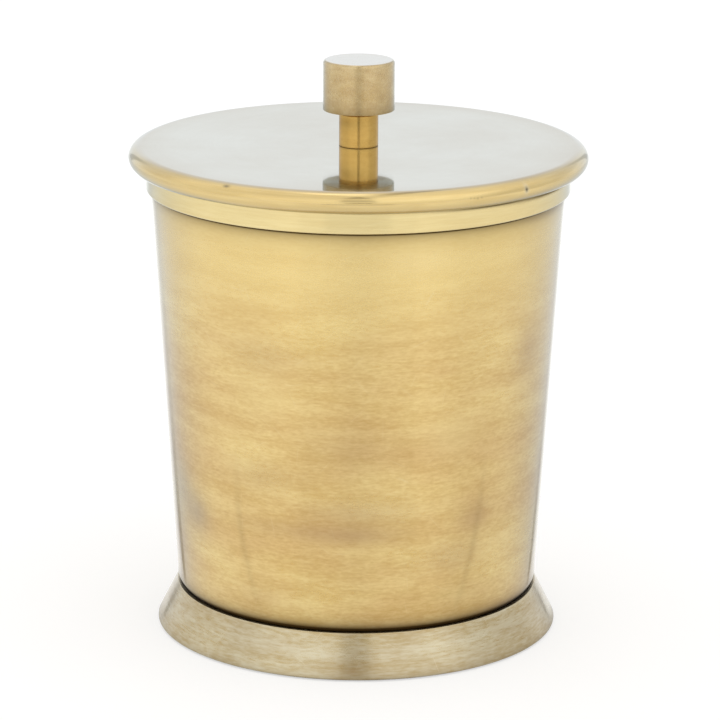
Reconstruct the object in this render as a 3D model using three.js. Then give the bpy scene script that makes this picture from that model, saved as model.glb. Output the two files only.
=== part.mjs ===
// Cotton pad box: a tapered brass cup with a rim ring, on a flared foot, under a lift-off lid with a knob.
// Millimetres, +Z up. The box's axis is Z, and the surface that it stands on is Z = 0.
import * as THREE from "three";

// Cup: wall and floor drawn from one sheet, with a bent heel between them
const CUP_MOUTH_DIAMETER = 104.1; // outside, at the top edge
const CUP_HEEL_DIAMETER = 91.2; // outside, where the line of the wall meets the underside of the floor
const CUP_HEIGHT = 106.7;
const CUP_SHEET = 1.0;
const HEEL_BEND = 2.0; // inside radius of the bend

// Rim ring: a band round the mouth, with a lip that covers the edge of the sheet
const RIM_HEIGHT = 5.3;
const RIM_PROUD = 1.3; // beyond the wall, at the ring's lower edge
const RIM_LIP = 1.2; // from the edge of the sheet up to the ring's top
const RIM_EDGE = 0.4; // rounding of the outer edges, and the chamfer round the mouth

// Foot ring: a flared skirt under a flat web that carries the cup
const FOOT_HEIGHT = 10.0;
const FOOT_LEDGE = 0.45; // how far the foot's top stands out from the line of the wall
const FOOT_FLARE = 5.05; // how much wider the foot is at the bottom
const FOOT_SKIRT = 4.0; // thickness of the skirt, measured level
const FOOT_WEB = 2.0;
const FOOT_TOP_EDGE = 0.25; // rounding of the top edge
const FOOT_LOW_EDGE = 0.3; // rounding of the bottom edge

// Rubber ring let into the bottom of the skirt
const RUBBER_WIDTH = 2.2;
const RUBBER_RECESS = 1.0; // how deep it is let in
const RUBBER_PROUD = 0.3; // how far it lifts the foot off the surface

// Stud, washer and nut that hold the foot to the cup
const STUD_DIAMETER = 5.0;
const STUD_LENGTH = 8.0;
const STUD_FLANGE_DIAMETER = 6.5;
const STUD_FLANGE = 0.8;
const STUD_CHAMFER = 0.5;
const FOOT_WASHER_DIAMETER = 15.0;
const FOOT_WASHER_THICKNESS = 1.2;
const NUT_ACROSS_FLATS = 8.0;
const NUT_HEIGHT = 4.0;

// Lid: a turned plate with a full bullnose edge, recessed below
const LID_DIAMETER = 115.0;
const LID_THICKNESS = 5.3; // at the edge
const LID_WEB = 2.6; // over the recess
const LOCATING_WALL = 1.2; // band under the lid that drops into the mouth
const LOCATING_DROP = 4.5; // how far it reaches below the lid
const LOCATING_EDGE = 0.4; // rounding of its lower edges

// Knob: a head on a narrower stem, pulled down to the lid by one screw
const STEM_DIAMETER = 9.8;
const STEM_HEIGHT = 8.8;
const STEM_CHAMFER = 0.3;
const HEAD_DIAMETER = 17.9;
const HEAD_HEIGHT = 12.6;
const HEAD_CHAMFER = 0.45;
const SCREW_DIAMETER = 4.0;
const SCREW_GRIP = 7.0; // length of screw inside the knob's head
const SCREW_CHAMFER = 0.4;
const SCREW_HEAD_DIAMETER = 8.0;
const SCREW_HEAD_HEIGHT = 2.4;
const SCREW_HEAD_CROWN = 1.0; // height of the head's domed part
const HOLE_DEPTH_SPARE = 1.5; // depth of the tapped hole beyond the screw's end
const KNOB_WASHER_DIAMETER = 9.0;
const KNOB_WASHER_THICKNESS = 0.8;

// Clearances
const SOLDER_GAP = 0.1; // in joints filled with solder or glue
const SEAT_GAP = 0.2; // under the lid, which rests on the rim's high spots
const THREAD_GAP = 0.1; // around threads, which are left plain
const HOLE_CLEARANCE = 0.25; // around a stud or screw in a plain hole
const LOCATING_CLEARANCE = 0.6; // between the locating band and the cup

// Facets: sides of a full turn, and pairs of steps along each arc of a profile
const WIDE_SIDES = 80;
const KNOB_SIDES = 48;
const FASTENER_SIDES = 24;
const NOSE_STEPS = 5;
const HEEL_STEPS = 3;
const CROWN_STEPS = 2;
const EDGE_STEPS = 1;

// Levels, from the surface up
const FOOT_BOTTOM = RUBBER_PROUD;
const FOOT_TOP = FOOT_BOTTOM + FOOT_HEIGHT;
const CUP_TOP = FOOT_TOP + CUP_HEIGHT;
const RIM_TOP = CUP_TOP + RIM_LIP;
const RIM_BOTTOM = RIM_TOP - RIM_HEIGHT;
const LID_BOTTOM = RIM_TOP + SEAT_GAP;
const LID_TOP = LID_BOTTOM + LID_THICKNESS;
const LID_CEILING = LID_TOP - LID_WEB;
const STEM_TOP = LID_TOP + STEM_HEIGHT;
const HEAD_TOP = STEM_TOP + HEAD_HEIGHT;
const WEB_BOTTOM = FOOT_TOP - FOOT_WEB;

// Taper of the cup's wall
const TAPER = Math.atan2((CUP_MOUTH_DIAMETER - CUP_HEEL_DIAMETER) / 2, CUP_HEIGHT);
const LEVEL_WALL = CUP_SHEET / Math.cos(TAPER); // thickness of the wall, measured level
const wallRadius = (z) => CUP_HEEL_DIAMETER / 2 + Math.tan(TAPER) * (z - FOOT_TOP);
const mouthRadius = (z) => wallRadius(z) - LEVEL_WALL;

// Flare of the foot's skirt
const FOOT_TOP_RADIUS = CUP_HEEL_DIAMETER / 2 + FOOT_LEDGE;
const FLARE = Math.atan2(FOOT_FLARE, FOOT_HEIGHT);
const skirtRadius = (z) => FOOT_TOP_RADIUS + Math.tan(FLARE) * (FOOT_TOP - z);

// Fits
const STUD_HOLE = STUD_FLANGE_DIAMETER / 2 + HOLE_CLEARANCE;
const SCREW_HOLE = SCREW_DIAMETER / 2 + HOLE_CLEARANCE;
const LOCATING_RADIUS = mouthRadius(LID_BOTTOM - LOCATING_DROP) - LOCATING_CLEARANCE;

const finish = (color, roughness, metalness) => () =>
  new THREE.MeshStandardMaterial({ color, roughness, metalness });

const brushedBrass = finish(0xcbb07a, 0.38, 1);
const palePolishedBrass = finish(0xd9c795, 0.16, 1);
const turnedBrass = finish(0xe0cb92, 0.25, 1);
const greyedBrass = finish(0xb9ab86, 0.42, 1);
const deepPolishedBrass = finish(0xb9964f, 0.15, 1);
const zincedSteel = finish(0xa8a9a6, 0.35, 1);
const blackRubber = finish(0x1c1c1b, 0.9, 0);

const UP = Math.PI / 2;
const DOWN = -Math.PI / 2;

// A profile drawn as a path of radius and height, turned round the axis. The path runs outwards along
// undersides, up outer faces and inwards along top faces. It starts and ends on the axis, or closes
// on itself.
function turned(name, material, sides, steps, draw) {
  const path = new THREE.Path();
  draw(path);
  const geometry = new THREE.LatheGeometry(path.getPoints(steps), sides);
  geometry.rotateX(UP);
  return named(name, geometry, material);
}

function named(name, geometry, material) {
  const mesh = new THREE.Mesh(geometry, material());
  mesh.name = name;
  return mesh;
}

// A flat ring with square edges
function flatRing(name, material, sides, { inner, outer, bottom, top }) {
  return turned(name, material, sides, EDGE_STEPS, (path) => {
    path.moveTo(inner, bottom);
    path.lineTo(outer, bottom);
    path.lineTo(outer, top);
    path.lineTo(inner, top);
    path.closePath();
  });
}

function makeCup() {
  const bend = HEEL_BEND + CUP_SHEET;
  const bendCentre = new THREE.Vector2(
    wallRadius(FOOT_TOP + bend) - bend / Math.cos(TAPER),
    FOOT_TOP + bend,
  );
  return turned("cup", brushedBrass, WIDE_SIDES, HEEL_STEPS, (path) => {
    path.moveTo(0, FOOT_TOP);
    path.lineTo(bendCentre.x, FOOT_TOP);
    path.absarc(bendCentre.x, bendCentre.y, bend, DOWN, -TAPER, false);
    path.lineTo(wallRadius(CUP_TOP), CUP_TOP);
    path.lineTo(mouthRadius(CUP_TOP), CUP_TOP);
    path.absarc(bendCentre.x, bendCentre.y, HEEL_BEND, -TAPER, DOWN, true);
    path.lineTo(0, FOOT_TOP + CUP_SHEET);
  });
}

function makeRimRing() {
  const outer = wallRadius(RIM_BOTTOM) + RIM_PROUD;
  const bore = mouthRadius(CUP_TOP);
  const lipBottom = CUP_TOP + SOLDER_GAP;
  const arcs = outer - RIM_EDGE;
  return turned("rim_ring", turnedBrass, WIDE_SIDES, EDGE_STEPS, (path) => {
    path.moveTo(wallRadius(RIM_BOTTOM) + SOLDER_GAP, RIM_BOTTOM);
    path.lineTo(arcs, RIM_BOTTOM);
    path.absarc(arcs, RIM_BOTTOM + RIM_EDGE, RIM_EDGE, DOWN, 0, false);
    path.absarc(arcs, RIM_TOP - RIM_EDGE, RIM_EDGE, 0, UP, false);
    path.lineTo(bore + RIM_EDGE, RIM_TOP);
    path.lineTo(bore, RIM_TOP - RIM_EDGE);
    path.lineTo(bore, lipBottom);
    path.lineTo(wallRadius(lipBottom) + SOLDER_GAP, lipBottom);
    path.closePath();
  });
}

function makeFootRing() {
  const innerTop = skirtRadius(WEB_BOTTOM) - FOOT_SKIRT;
  const innerBottom = skirtRadius(FOOT_BOTTOM) - FOOT_SKIRT;
  const groove = rubberGroove();
  const grooveTop = FOOT_BOTTOM + RUBBER_RECESS;
  // The rounded edges touch the slanted face of the skirt
  const lowCentre = FOOT_BOTTOM + FOOT_LOW_EDGE;
  const topCentre = FOOT_TOP - FOOT_TOP_EDGE;
  const lowArc = skirtRadius(lowCentre) - FOOT_LOW_EDGE / Math.cos(FLARE);
  const topArc = skirtRadius(topCentre) - FOOT_TOP_EDGE / Math.cos(FLARE);
  return turned("foot_ring", greyedBrass, WIDE_SIDES, EDGE_STEPS, (path) => {
    path.moveTo(STUD_HOLE, WEB_BOTTOM);
    path.lineTo(innerTop, WEB_BOTTOM);
    path.lineTo(innerBottom, FOOT_BOTTOM);
    path.lineTo(groove.inner, FOOT_BOTTOM);
    path.lineTo(groove.inner, grooveTop);
    path.lineTo(groove.outer, grooveTop);
    path.lineTo(groove.outer, FOOT_BOTTOM);
    path.absarc(lowArc, lowCentre, FOOT_LOW_EDGE, DOWN, FLARE, false);
    path.absarc(topArc, topCentre, FOOT_TOP_EDGE, FLARE, UP, false);
    path.lineTo(STUD_HOLE, FOOT_TOP);
    path.closePath();
  });
}

// The groove runs along the middle of the skirt's flat bottom
function rubberGroove() {
  const middle = skirtRadius(FOOT_BOTTOM) - (FOOT_SKIRT + FOOT_LOW_EDGE) / 2;
  const half = RUBBER_WIDTH / 2 + SOLDER_GAP;
  return { inner: middle - half, outer: middle + half };
}

function makeFootRubber() {
  const groove = rubberGroove();
  return flatRing("foot_rubber", blackRubber, WIDE_SIDES, {
    inner: groove.inner + SOLDER_GAP,
    outer: groove.outer - SOLDER_GAP,
    bottom: FOOT_BOTTOM - RUBBER_PROUD,
    top: FOOT_BOTTOM + RUBBER_RECESS - SOLDER_GAP,
  });
}

function makeFootStud() {
  const radius = STUD_DIAMETER / 2;
  const end = FOOT_TOP - STUD_LENGTH;
  return turned("foot_stud", zincedSteel, FASTENER_SIDES, EDGE_STEPS, (path) => {
    path.moveTo(0, end);
    path.lineTo(radius - STUD_CHAMFER, end);
    path.lineTo(radius, end + STUD_CHAMFER);
    path.lineTo(radius, FOOT_TOP - STUD_FLANGE);
    path.lineTo(STUD_FLANGE_DIAMETER / 2, FOOT_TOP - STUD_FLANGE);
    path.lineTo(STUD_FLANGE_DIAMETER / 2, FOOT_TOP);
    path.lineTo(0, FOOT_TOP);
  });
}

function makeFootWasher() {
  return flatRing("foot_washer", zincedSteel, FASTENER_SIDES, {
    inner: STUD_DIAMETER / 2 + HOLE_CLEARANCE,
    outer: FOOT_WASHER_DIAMETER / 2,
    bottom: WEB_BOTTOM - FOOT_WASHER_THICKNESS,
    top: WEB_BOTTOM,
  });
}

function makeFootNut() {
  const corner = NUT_ACROSS_FLATS / 2 / Math.cos(Math.PI / 6);
  const outline = new THREE.Shape();
  for (let side = 0; side < 6; side++) {
    const turn = (side * Math.PI) / 3;
    const x = corner * Math.cos(turn);
    const y = corner * Math.sin(turn);
    if (side === 0) outline.moveTo(x, y);
    else outline.lineTo(x, y);
  }
  outline.closePath();
  const hole = new THREE.Path();
  hole.absarc(0, 0, STUD_DIAMETER / 2 + THREAD_GAP, 0, 2 * Math.PI, true);
  outline.holes.push(hole);
  const geometry = new THREE.ExtrudeGeometry(outline, {
    depth: NUT_HEIGHT,
    bevelEnabled: false,
    curveSegments: FASTENER_SIDES / 2,
  });
  const nut = named("foot_nut", geometry, zincedSteel);
  nut.position.z = WEB_BOTTOM - FOOT_WASHER_THICKNESS - NUT_HEIGHT;
  return nut;
}

function makeLidPlate() {
  const nose = LID_THICKNESS / 2;
  const noseCentre = LID_DIAMETER / 2 - nose;
  const recess = LOCATING_RADIUS + SOLDER_GAP;
  return turned("lid_plate", palePolishedBrass, WIDE_SIDES, NOSE_STEPS, (path) => {
    path.moveTo(SCREW_HOLE, LID_CEILING);
    path.lineTo(recess, LID_CEILING);
    path.lineTo(recess, LID_BOTTOM);
    path.absarc(noseCentre, LID_BOTTOM + nose, nose, DOWN, UP, false);
    path.lineTo(SCREW_HOLE, LID_TOP);
    path.closePath();
  });
}

function makeLocatingRing() {
  const inner = LOCATING_RADIUS - LOCATING_WALL;
  const bottom = LID_BOTTOM - LOCATING_DROP;
  const top = LID_CEILING - SOLDER_GAP;
  const arcLevel = bottom + LOCATING_EDGE;
  return turned("lid_locating_ring", turnedBrass, WIDE_SIDES, EDGE_STEPS, (path) => {
    path.moveTo(inner, top);
    path.lineTo(inner, arcLevel);
    path.absarc(inner + LOCATING_EDGE, arcLevel, LOCATING_EDGE, Math.PI, 1.5 * Math.PI, false);
    path.absarc(LOCATING_RADIUS - LOCATING_EDGE, arcLevel, LOCATING_EDGE, DOWN, 0, false);
    path.lineTo(LOCATING_RADIUS, top);
    path.closePath();
  });
}

function makeKnobStem() {
  const radius = STEM_DIAMETER / 2;
  return turned("knob_stem", deepPolishedBrass, KNOB_SIDES, EDGE_STEPS, (path) => {
    path.moveTo(SCREW_HOLE, LID_TOP);
    path.lineTo(radius - STEM_CHAMFER, LID_TOP);
    path.lineTo(radius, LID_TOP + STEM_CHAMFER);
    path.lineTo(radius, STEM_TOP);
    path.lineTo(SCREW_HOLE, STEM_TOP);
    path.closePath();
  });
}

function makeKnobHead() {
  const radius = HEAD_DIAMETER / 2;
  const hole = SCREW_DIAMETER / 2 + THREAD_GAP;
  const holeEnd = STEM_TOP + SCREW_GRIP + HOLE_DEPTH_SPARE;
  return turned("knob_head", greyedBrass, KNOB_SIDES, EDGE_STEPS, (path) => {
    path.moveTo(0, holeEnd);
    path.lineTo(hole, holeEnd);
    path.lineTo(hole, STEM_TOP);
    path.lineTo(radius - HEAD_CHAMFER, STEM_TOP);
    path.lineTo(radius, STEM_TOP + HEAD_CHAMFER);
    path.lineTo(radius, HEAD_TOP - HEAD_CHAMFER);
    path.lineTo(radius - HEAD_CHAMFER, HEAD_TOP);
    path.lineTo(0, HEAD_TOP);
  });
}

function makeKnobScrew() {
  const radius = SCREW_DIAMETER / 2;
  const headRadius = SCREW_HEAD_DIAMETER / 2;
  const headTop = LID_CEILING - KNOB_WASHER_THICKNESS;
  const headBottom = headTop - SCREW_HEAD_HEIGHT;
  const tip = STEM_TOP + SCREW_GRIP;
  // The crown is the low cap of a sphere
  const crown = (headRadius ** 2 + SCREW_HEAD_CROWN ** 2) / (2 * SCREW_HEAD_CROWN);
  const crownEnd = DOWN + Math.asin(headRadius / crown);
  return turned("knob_screw", zincedSteel, FASTENER_SIDES, CROWN_STEPS, (path) => {
    path.absarc(0, headBottom + crown, crown, DOWN, crownEnd, false);
    path.lineTo(headRadius, headTop);
    path.lineTo(radius, headTop);
    path.lineTo(radius, tip - SCREW_CHAMFER);
    path.lineTo(radius - SCREW_CHAMFER, tip);
    path.lineTo(0, tip);
  });
}

function makeKnobWasher() {
  return flatRing("knob_washer", zincedSteel, FASTENER_SIDES, {
    inner: SCREW_HOLE,
    outer: KNOB_WASHER_DIAMETER / 2,
    bottom: LID_CEILING - KNOB_WASHER_THICKNESS,
    top: LID_CEILING,
  });
}

const jar = new THREE.Group();
jar.add(makeCup(), makeRimRing());
jar.add(makeFootRing(), makeFootRubber());
jar.add(makeFootStud(), makeFootWasher(), makeFootNut());

const lid = new THREE.Group();
lid.add(makeLidPlate(), makeLocatingRing());
lid.add(makeKnobStem(), makeKnobHead());
lid.add(makeKnobScrew(), makeKnobWasher());

const box = new THREE.Group();
box.add(jar, lid);

export default box;
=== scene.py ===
"""Dresses the cotton pad box in aged brass and stands it in a plain white studio.

Lengths are in metres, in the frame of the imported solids: +Z up, the axis of the box on Z and the
surface that it stands on at Z = 0. The front of the box is towards -Y.
"""

import logging
import math
from dataclasses import dataclass, replace
from enum import Enum
from functools import partial
from typing import Union

import bpy
from mathutils import Euler, Matrix, Vector


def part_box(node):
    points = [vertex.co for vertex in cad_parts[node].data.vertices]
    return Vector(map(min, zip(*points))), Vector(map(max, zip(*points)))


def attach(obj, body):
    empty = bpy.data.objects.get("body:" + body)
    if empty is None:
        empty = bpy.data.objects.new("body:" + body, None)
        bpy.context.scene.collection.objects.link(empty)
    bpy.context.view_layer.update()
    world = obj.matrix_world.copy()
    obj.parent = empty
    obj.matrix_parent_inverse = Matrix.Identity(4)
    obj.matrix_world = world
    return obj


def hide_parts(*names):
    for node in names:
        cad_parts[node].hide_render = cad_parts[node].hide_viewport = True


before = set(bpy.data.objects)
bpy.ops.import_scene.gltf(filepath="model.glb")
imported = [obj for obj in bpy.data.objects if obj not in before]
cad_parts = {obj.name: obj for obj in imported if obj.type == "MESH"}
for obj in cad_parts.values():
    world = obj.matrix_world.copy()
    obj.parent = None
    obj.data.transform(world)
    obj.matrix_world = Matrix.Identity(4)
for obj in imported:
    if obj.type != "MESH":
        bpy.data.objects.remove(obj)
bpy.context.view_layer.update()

LOG = logging.getLogger("cotton_pad_box")
MM = 0.001
WEAR_LAYER = "edge"

Colour = tuple[float, float, float, float]
Pair = tuple[float, float]
Stops = tuple[Pair, ...]
Outline = list[tuple[float, float, float]]
Material = bpy.types.Material
Piece = bpy.types.Object
Socket = bpy.types.NodeSocket
Tree = bpy.types.NodeTree
# What a socket takes: another socket, a number or a colour
Value = Union[Socket, float, tuple]


class Body(Enum):
    """The moving bodies of the frame."""

    JAR = "jar"
    LID = "lid"


class Sides(Enum):
    """How many flats stand for a full turn."""

    WIDE = 192
    KNOB = 96
    FASTENER = 64


def srgb(red: int, green: int, blue: int) -> Colour:
    """Gives the linear colour of an 8-bit screen colour.

    Args:
        red, green, blue: The screen colour, from 0 to 255.

    Returns:
        The linear colour with full alpha.
    """
    def channel(value: float) -> float:
        """The linear value of one channel, from 0 to 1."""
        return value / 12.92 if value <= 0.04045 else ((value + 0.055) / 1.055) ** 2.4

    return (channel(red / 255), channel(green / 255), channel(blue / 255), 1.0)


class Graph:
    """Adds nodes to one tree and joins them."""

    def __init__(self, tree: Tree) -> None:
        """Takes the tree to work on."""
        self.tree = tree

    def add(self, kind: str, **settings: object) -> bpy.types.Node:
        """Adds a node.

        Args:
            kind: The node's Blender type.
            settings: Properties of the node, by name.

        Returns:
            The new node.
        """
        node = self.tree.nodes.new(kind)
        for name, value in settings.items():
            setattr(node, name, value)
        return node

    def feed(self, socket: Socket, value: Value) -> None:
        """Joins a socket to another one, or sets its value.

        Args:
            socket: The input to feed.
            value: The socket that feeds it, or its value.
        """
        if isinstance(value, Socket):
            self.tree.links.new(value, socket)
        else:
            socket.default_value = value

    def math(self, operation: str, *values: Value, clamp: bool = False) -> Socket:
        """Adds a Math node.

        Args:
            operation: The node's operation.
            values: Sockets or numbers for its inputs, in order.
            clamp: Whether the result stays between 0 and 1.

        Returns:
            The result's socket.
        """
        node = self.add("ShaderNodeMath", operation=operation, use_clamp=clamp)
        for socket, value in zip(node.inputs, values):
            self.feed(socket, value)
        return node.outputs[0]

    def spread(self, value: Value, low: Value, high: Value, to_low: Value, to_high: Value) -> Socket:
        """Maps a value smoothly from one range to another.

        Args:
            value: The socket to map.
            low, high: The range that it comes from.
            to_low, to_high: The range that it goes to.

        Returns:
            The mapped value's socket, held within the new range.
        """
        node = self.add("ShaderNodeMapRange", interpolation_type="SMOOTHSTEP")
        names = ("Value", "From Min", "From Max", "To Min", "To Max")
        for name, given in zip(names, (value, low, high, to_low, to_high)):
            self.feed(node.inputs[name], given)
        return node.outputs["Result"]

    def band(self, value: Value, rise: Pair, fall: Pair) -> Socket:
        """One between two soft ends, each given by the values between which it lies."""
        risen, fallen = self.spread(value, *rise, 0.0, 1.0), self.spread(value, *fall, 1.0, 0.0)
        return self.math("MULTIPLY", risen, fallen)

    def times(self, first: Value, second: Value, clamp: bool = False) -> Socket:
        """The product of two values."""
        return self.math("MULTIPLY", first, second, clamp=clamp)

    def plus(self, first: Value, second: Value, clamp: bool = False) -> Socket:
        """The sum of two values."""
        return self.math("ADD", first, second, clamp=clamp)

    def minus(self, first: Value, second: Value) -> Socket:
        """The first value less the second."""
        return self.math("SUBTRACT", first, second)

    def ratio(self, first: Value, second: Value, clamp: bool = False) -> Socket:
        """The first value for each unit of the second."""
        return self.math("DIVIDE", first, second, clamp=clamp)

    def most(self, first: Value, second: Value) -> Socket:
        """The larger of two values."""
        return self.math("MAXIMUM", first, second)

    def rest(self, value: Value) -> Socket:
        """What a share leaves of one."""
        return self.minus(1.0, value)

    def mix(self, share: Value, first: Value, second: Value, blend: str = "MIX") -> Socket:
        """Mixes two colours.

        Args:
            share: How much of the second colour there is.
            first, second: The colours, as sockets or values.
            blend: The way of mixing.

        Returns:
            The mixed colour's socket.
        """
        node = self.add("ShaderNodeMix", data_type="RGBA", blend_type=blend)
        self.feed(node.inputs["Factor"], share)
        self.feed(node.inputs[6], first)
        self.feed(node.inputs[7], second)
        return node.outputs[2]

    def ramp(self, value: Socket, stops: Stops) -> Socket:
        """Reads a level from a row of stops.

        Args:
            value: The socket that runs along the row, from 0 to 1.
            stops: Place and level of each stop, in order from 0 to 1.

        Returns:
            The level's socket.
        """
        node = self.add("ShaderNodeValToRGB")
        self.feed(node.inputs["Fac"], value)
        row = node.color_ramp
        row.interpolation = "EASE"
        row.elements[0].position, row.elements[1].position = stops[0][0], stops[-1][0]
        for place, _ in stops[1:-1]:
            row.elements.new(place)
        highest = max(level for _, level in stops)
        for element, (_, level) in zip(row.elements, stops):
            element.color = (level / highest, level / highest, level / highest, 1.0)
        return self.math("MULTIPLY", node.outputs["Color"], highest)

    def group(self, tree: Tree, **values: Value) -> bpy.types.Node:
        """Places a shared group and sets its inputs.

        Args:
            tree: The group.
            values: Its inputs by name, with underscores for spaces.

        Returns:
            The group's node.
        """
        node = self.add("ShaderNodeGroup", node_tree=tree)
        for name, value in values.items():
            self.feed(node.inputs[name.replace("_", " ").capitalize()], value)
        return node


@dataclass(frozen=True)
class Corner:
    """One corner of a half section, and the radius that rounds it."""

    radius: float
    height: float
    rounding: float = 0.0

    @property
    def place(self) -> Vector:
        """The corner as a flat vector."""
        return Vector((self.radius, self.height))


@dataclass(frozen=True)
class Section:
    """The half section of a turned piece, with its corners in order up the outside.

    A ring closes on itself. Any other section starts and ends on the axis.
    """

    corners: tuple[Corner, ...]
    ring: bool = True

    ARC_STEP = math.radians(7.5)
    ARC_LENGTH = 6.0 * MM
    # How far the points that keep a straight stretch flat lie from its ends
    HOLD = 0.15 * MM
    LARGEST_WORN_EDGE = 0.8 * MM
    SAME_PLACE = 1e-7

    def points(self) -> Outline:
        """Works out the outline.

        Returns:
            Radius, height and edge wear of each point. A ring repeats its first point at the end.
        """
        runs = [self._rounded(index) for index in range(len(self.corners))]
        if self.ring:
            runs.append(runs[0][:1])
        outline = list(runs[0])
        for run in runs[1:]:
            outline += self._held(outline[-1], run[0])
            outline += run
        return self._distinct(outline)

    def _rounded(self, index: int) -> Outline:
        """Rounds one corner.

        Args:
            index: The corner's place in the section.

        Returns:
            The points that stand for it. A small rounding is most worn in its middle.
        """
        corner = self.corners[index]
        if corner.rounding == 0.0:
            return [(corner.radius, corner.height, 0.0)]
        before = self.corners[index - 1].place - corner.place
        after = self.corners[(index + 1) % len(self.corners)].place - corner.place
        before.normalize()
        after.normalize()
        half = before.angle(after) / 2
        centre = corner.place + (before + after).normalized() * (corner.rounding / math.sin(half))
        spoke = corner.place + before * (corner.rounding / math.tan(half)) - centre
        turn = math.copysign(math.pi - 2 * half, before.cross(after) * -1)
        length = abs(turn) * corner.rounding
        steps = max(2, math.ceil(abs(turn) / self.ARC_STEP), math.ceil(length / self.ARC_LENGTH))
        worn = 1.0 if corner.rounding <= self.LARGEST_WORN_EDGE else 0.0
        points = []
        for step in range(steps + 1):
            share = step / steps
            place = centre + Matrix.Rotation(turn * share, 2) @ spoke
            points.append((place.x, place.y, worn * math.sin(math.pi * share)))
        return points

    def _held(self, start: tuple, end: tuple) -> Outline:
        """Keeps the shading of a straight stretch flat.

        Args:
            start, end: The points at its ends.

        Returns:
            A point close to each end, or none where the stretch is short.
        """
        first, last = Vector(start[:2]), Vector(end[:2])
        length = (last - first).length
        if length < 4 * self.HOLD:
            return []
        places = (first.lerp(last, self.HOLD / length), last.lerp(first, self.HOLD / length))
        return [(place.x, place.y, 0.0) for place in places]

    @classmethod
    def _distinct(cls, points: Outline) -> Outline:
        """Drops each point that lies on the one before it.

        Args:
            points: The outline.

        Returns:
            The outline without doubles.
        """
        kept = points[:1]
        for point in points[1:]:
            if math.dist(point[:2], kept[-1][:2]) > cls.SAME_PLACE:
                kept.append(point)
        return kept


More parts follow.
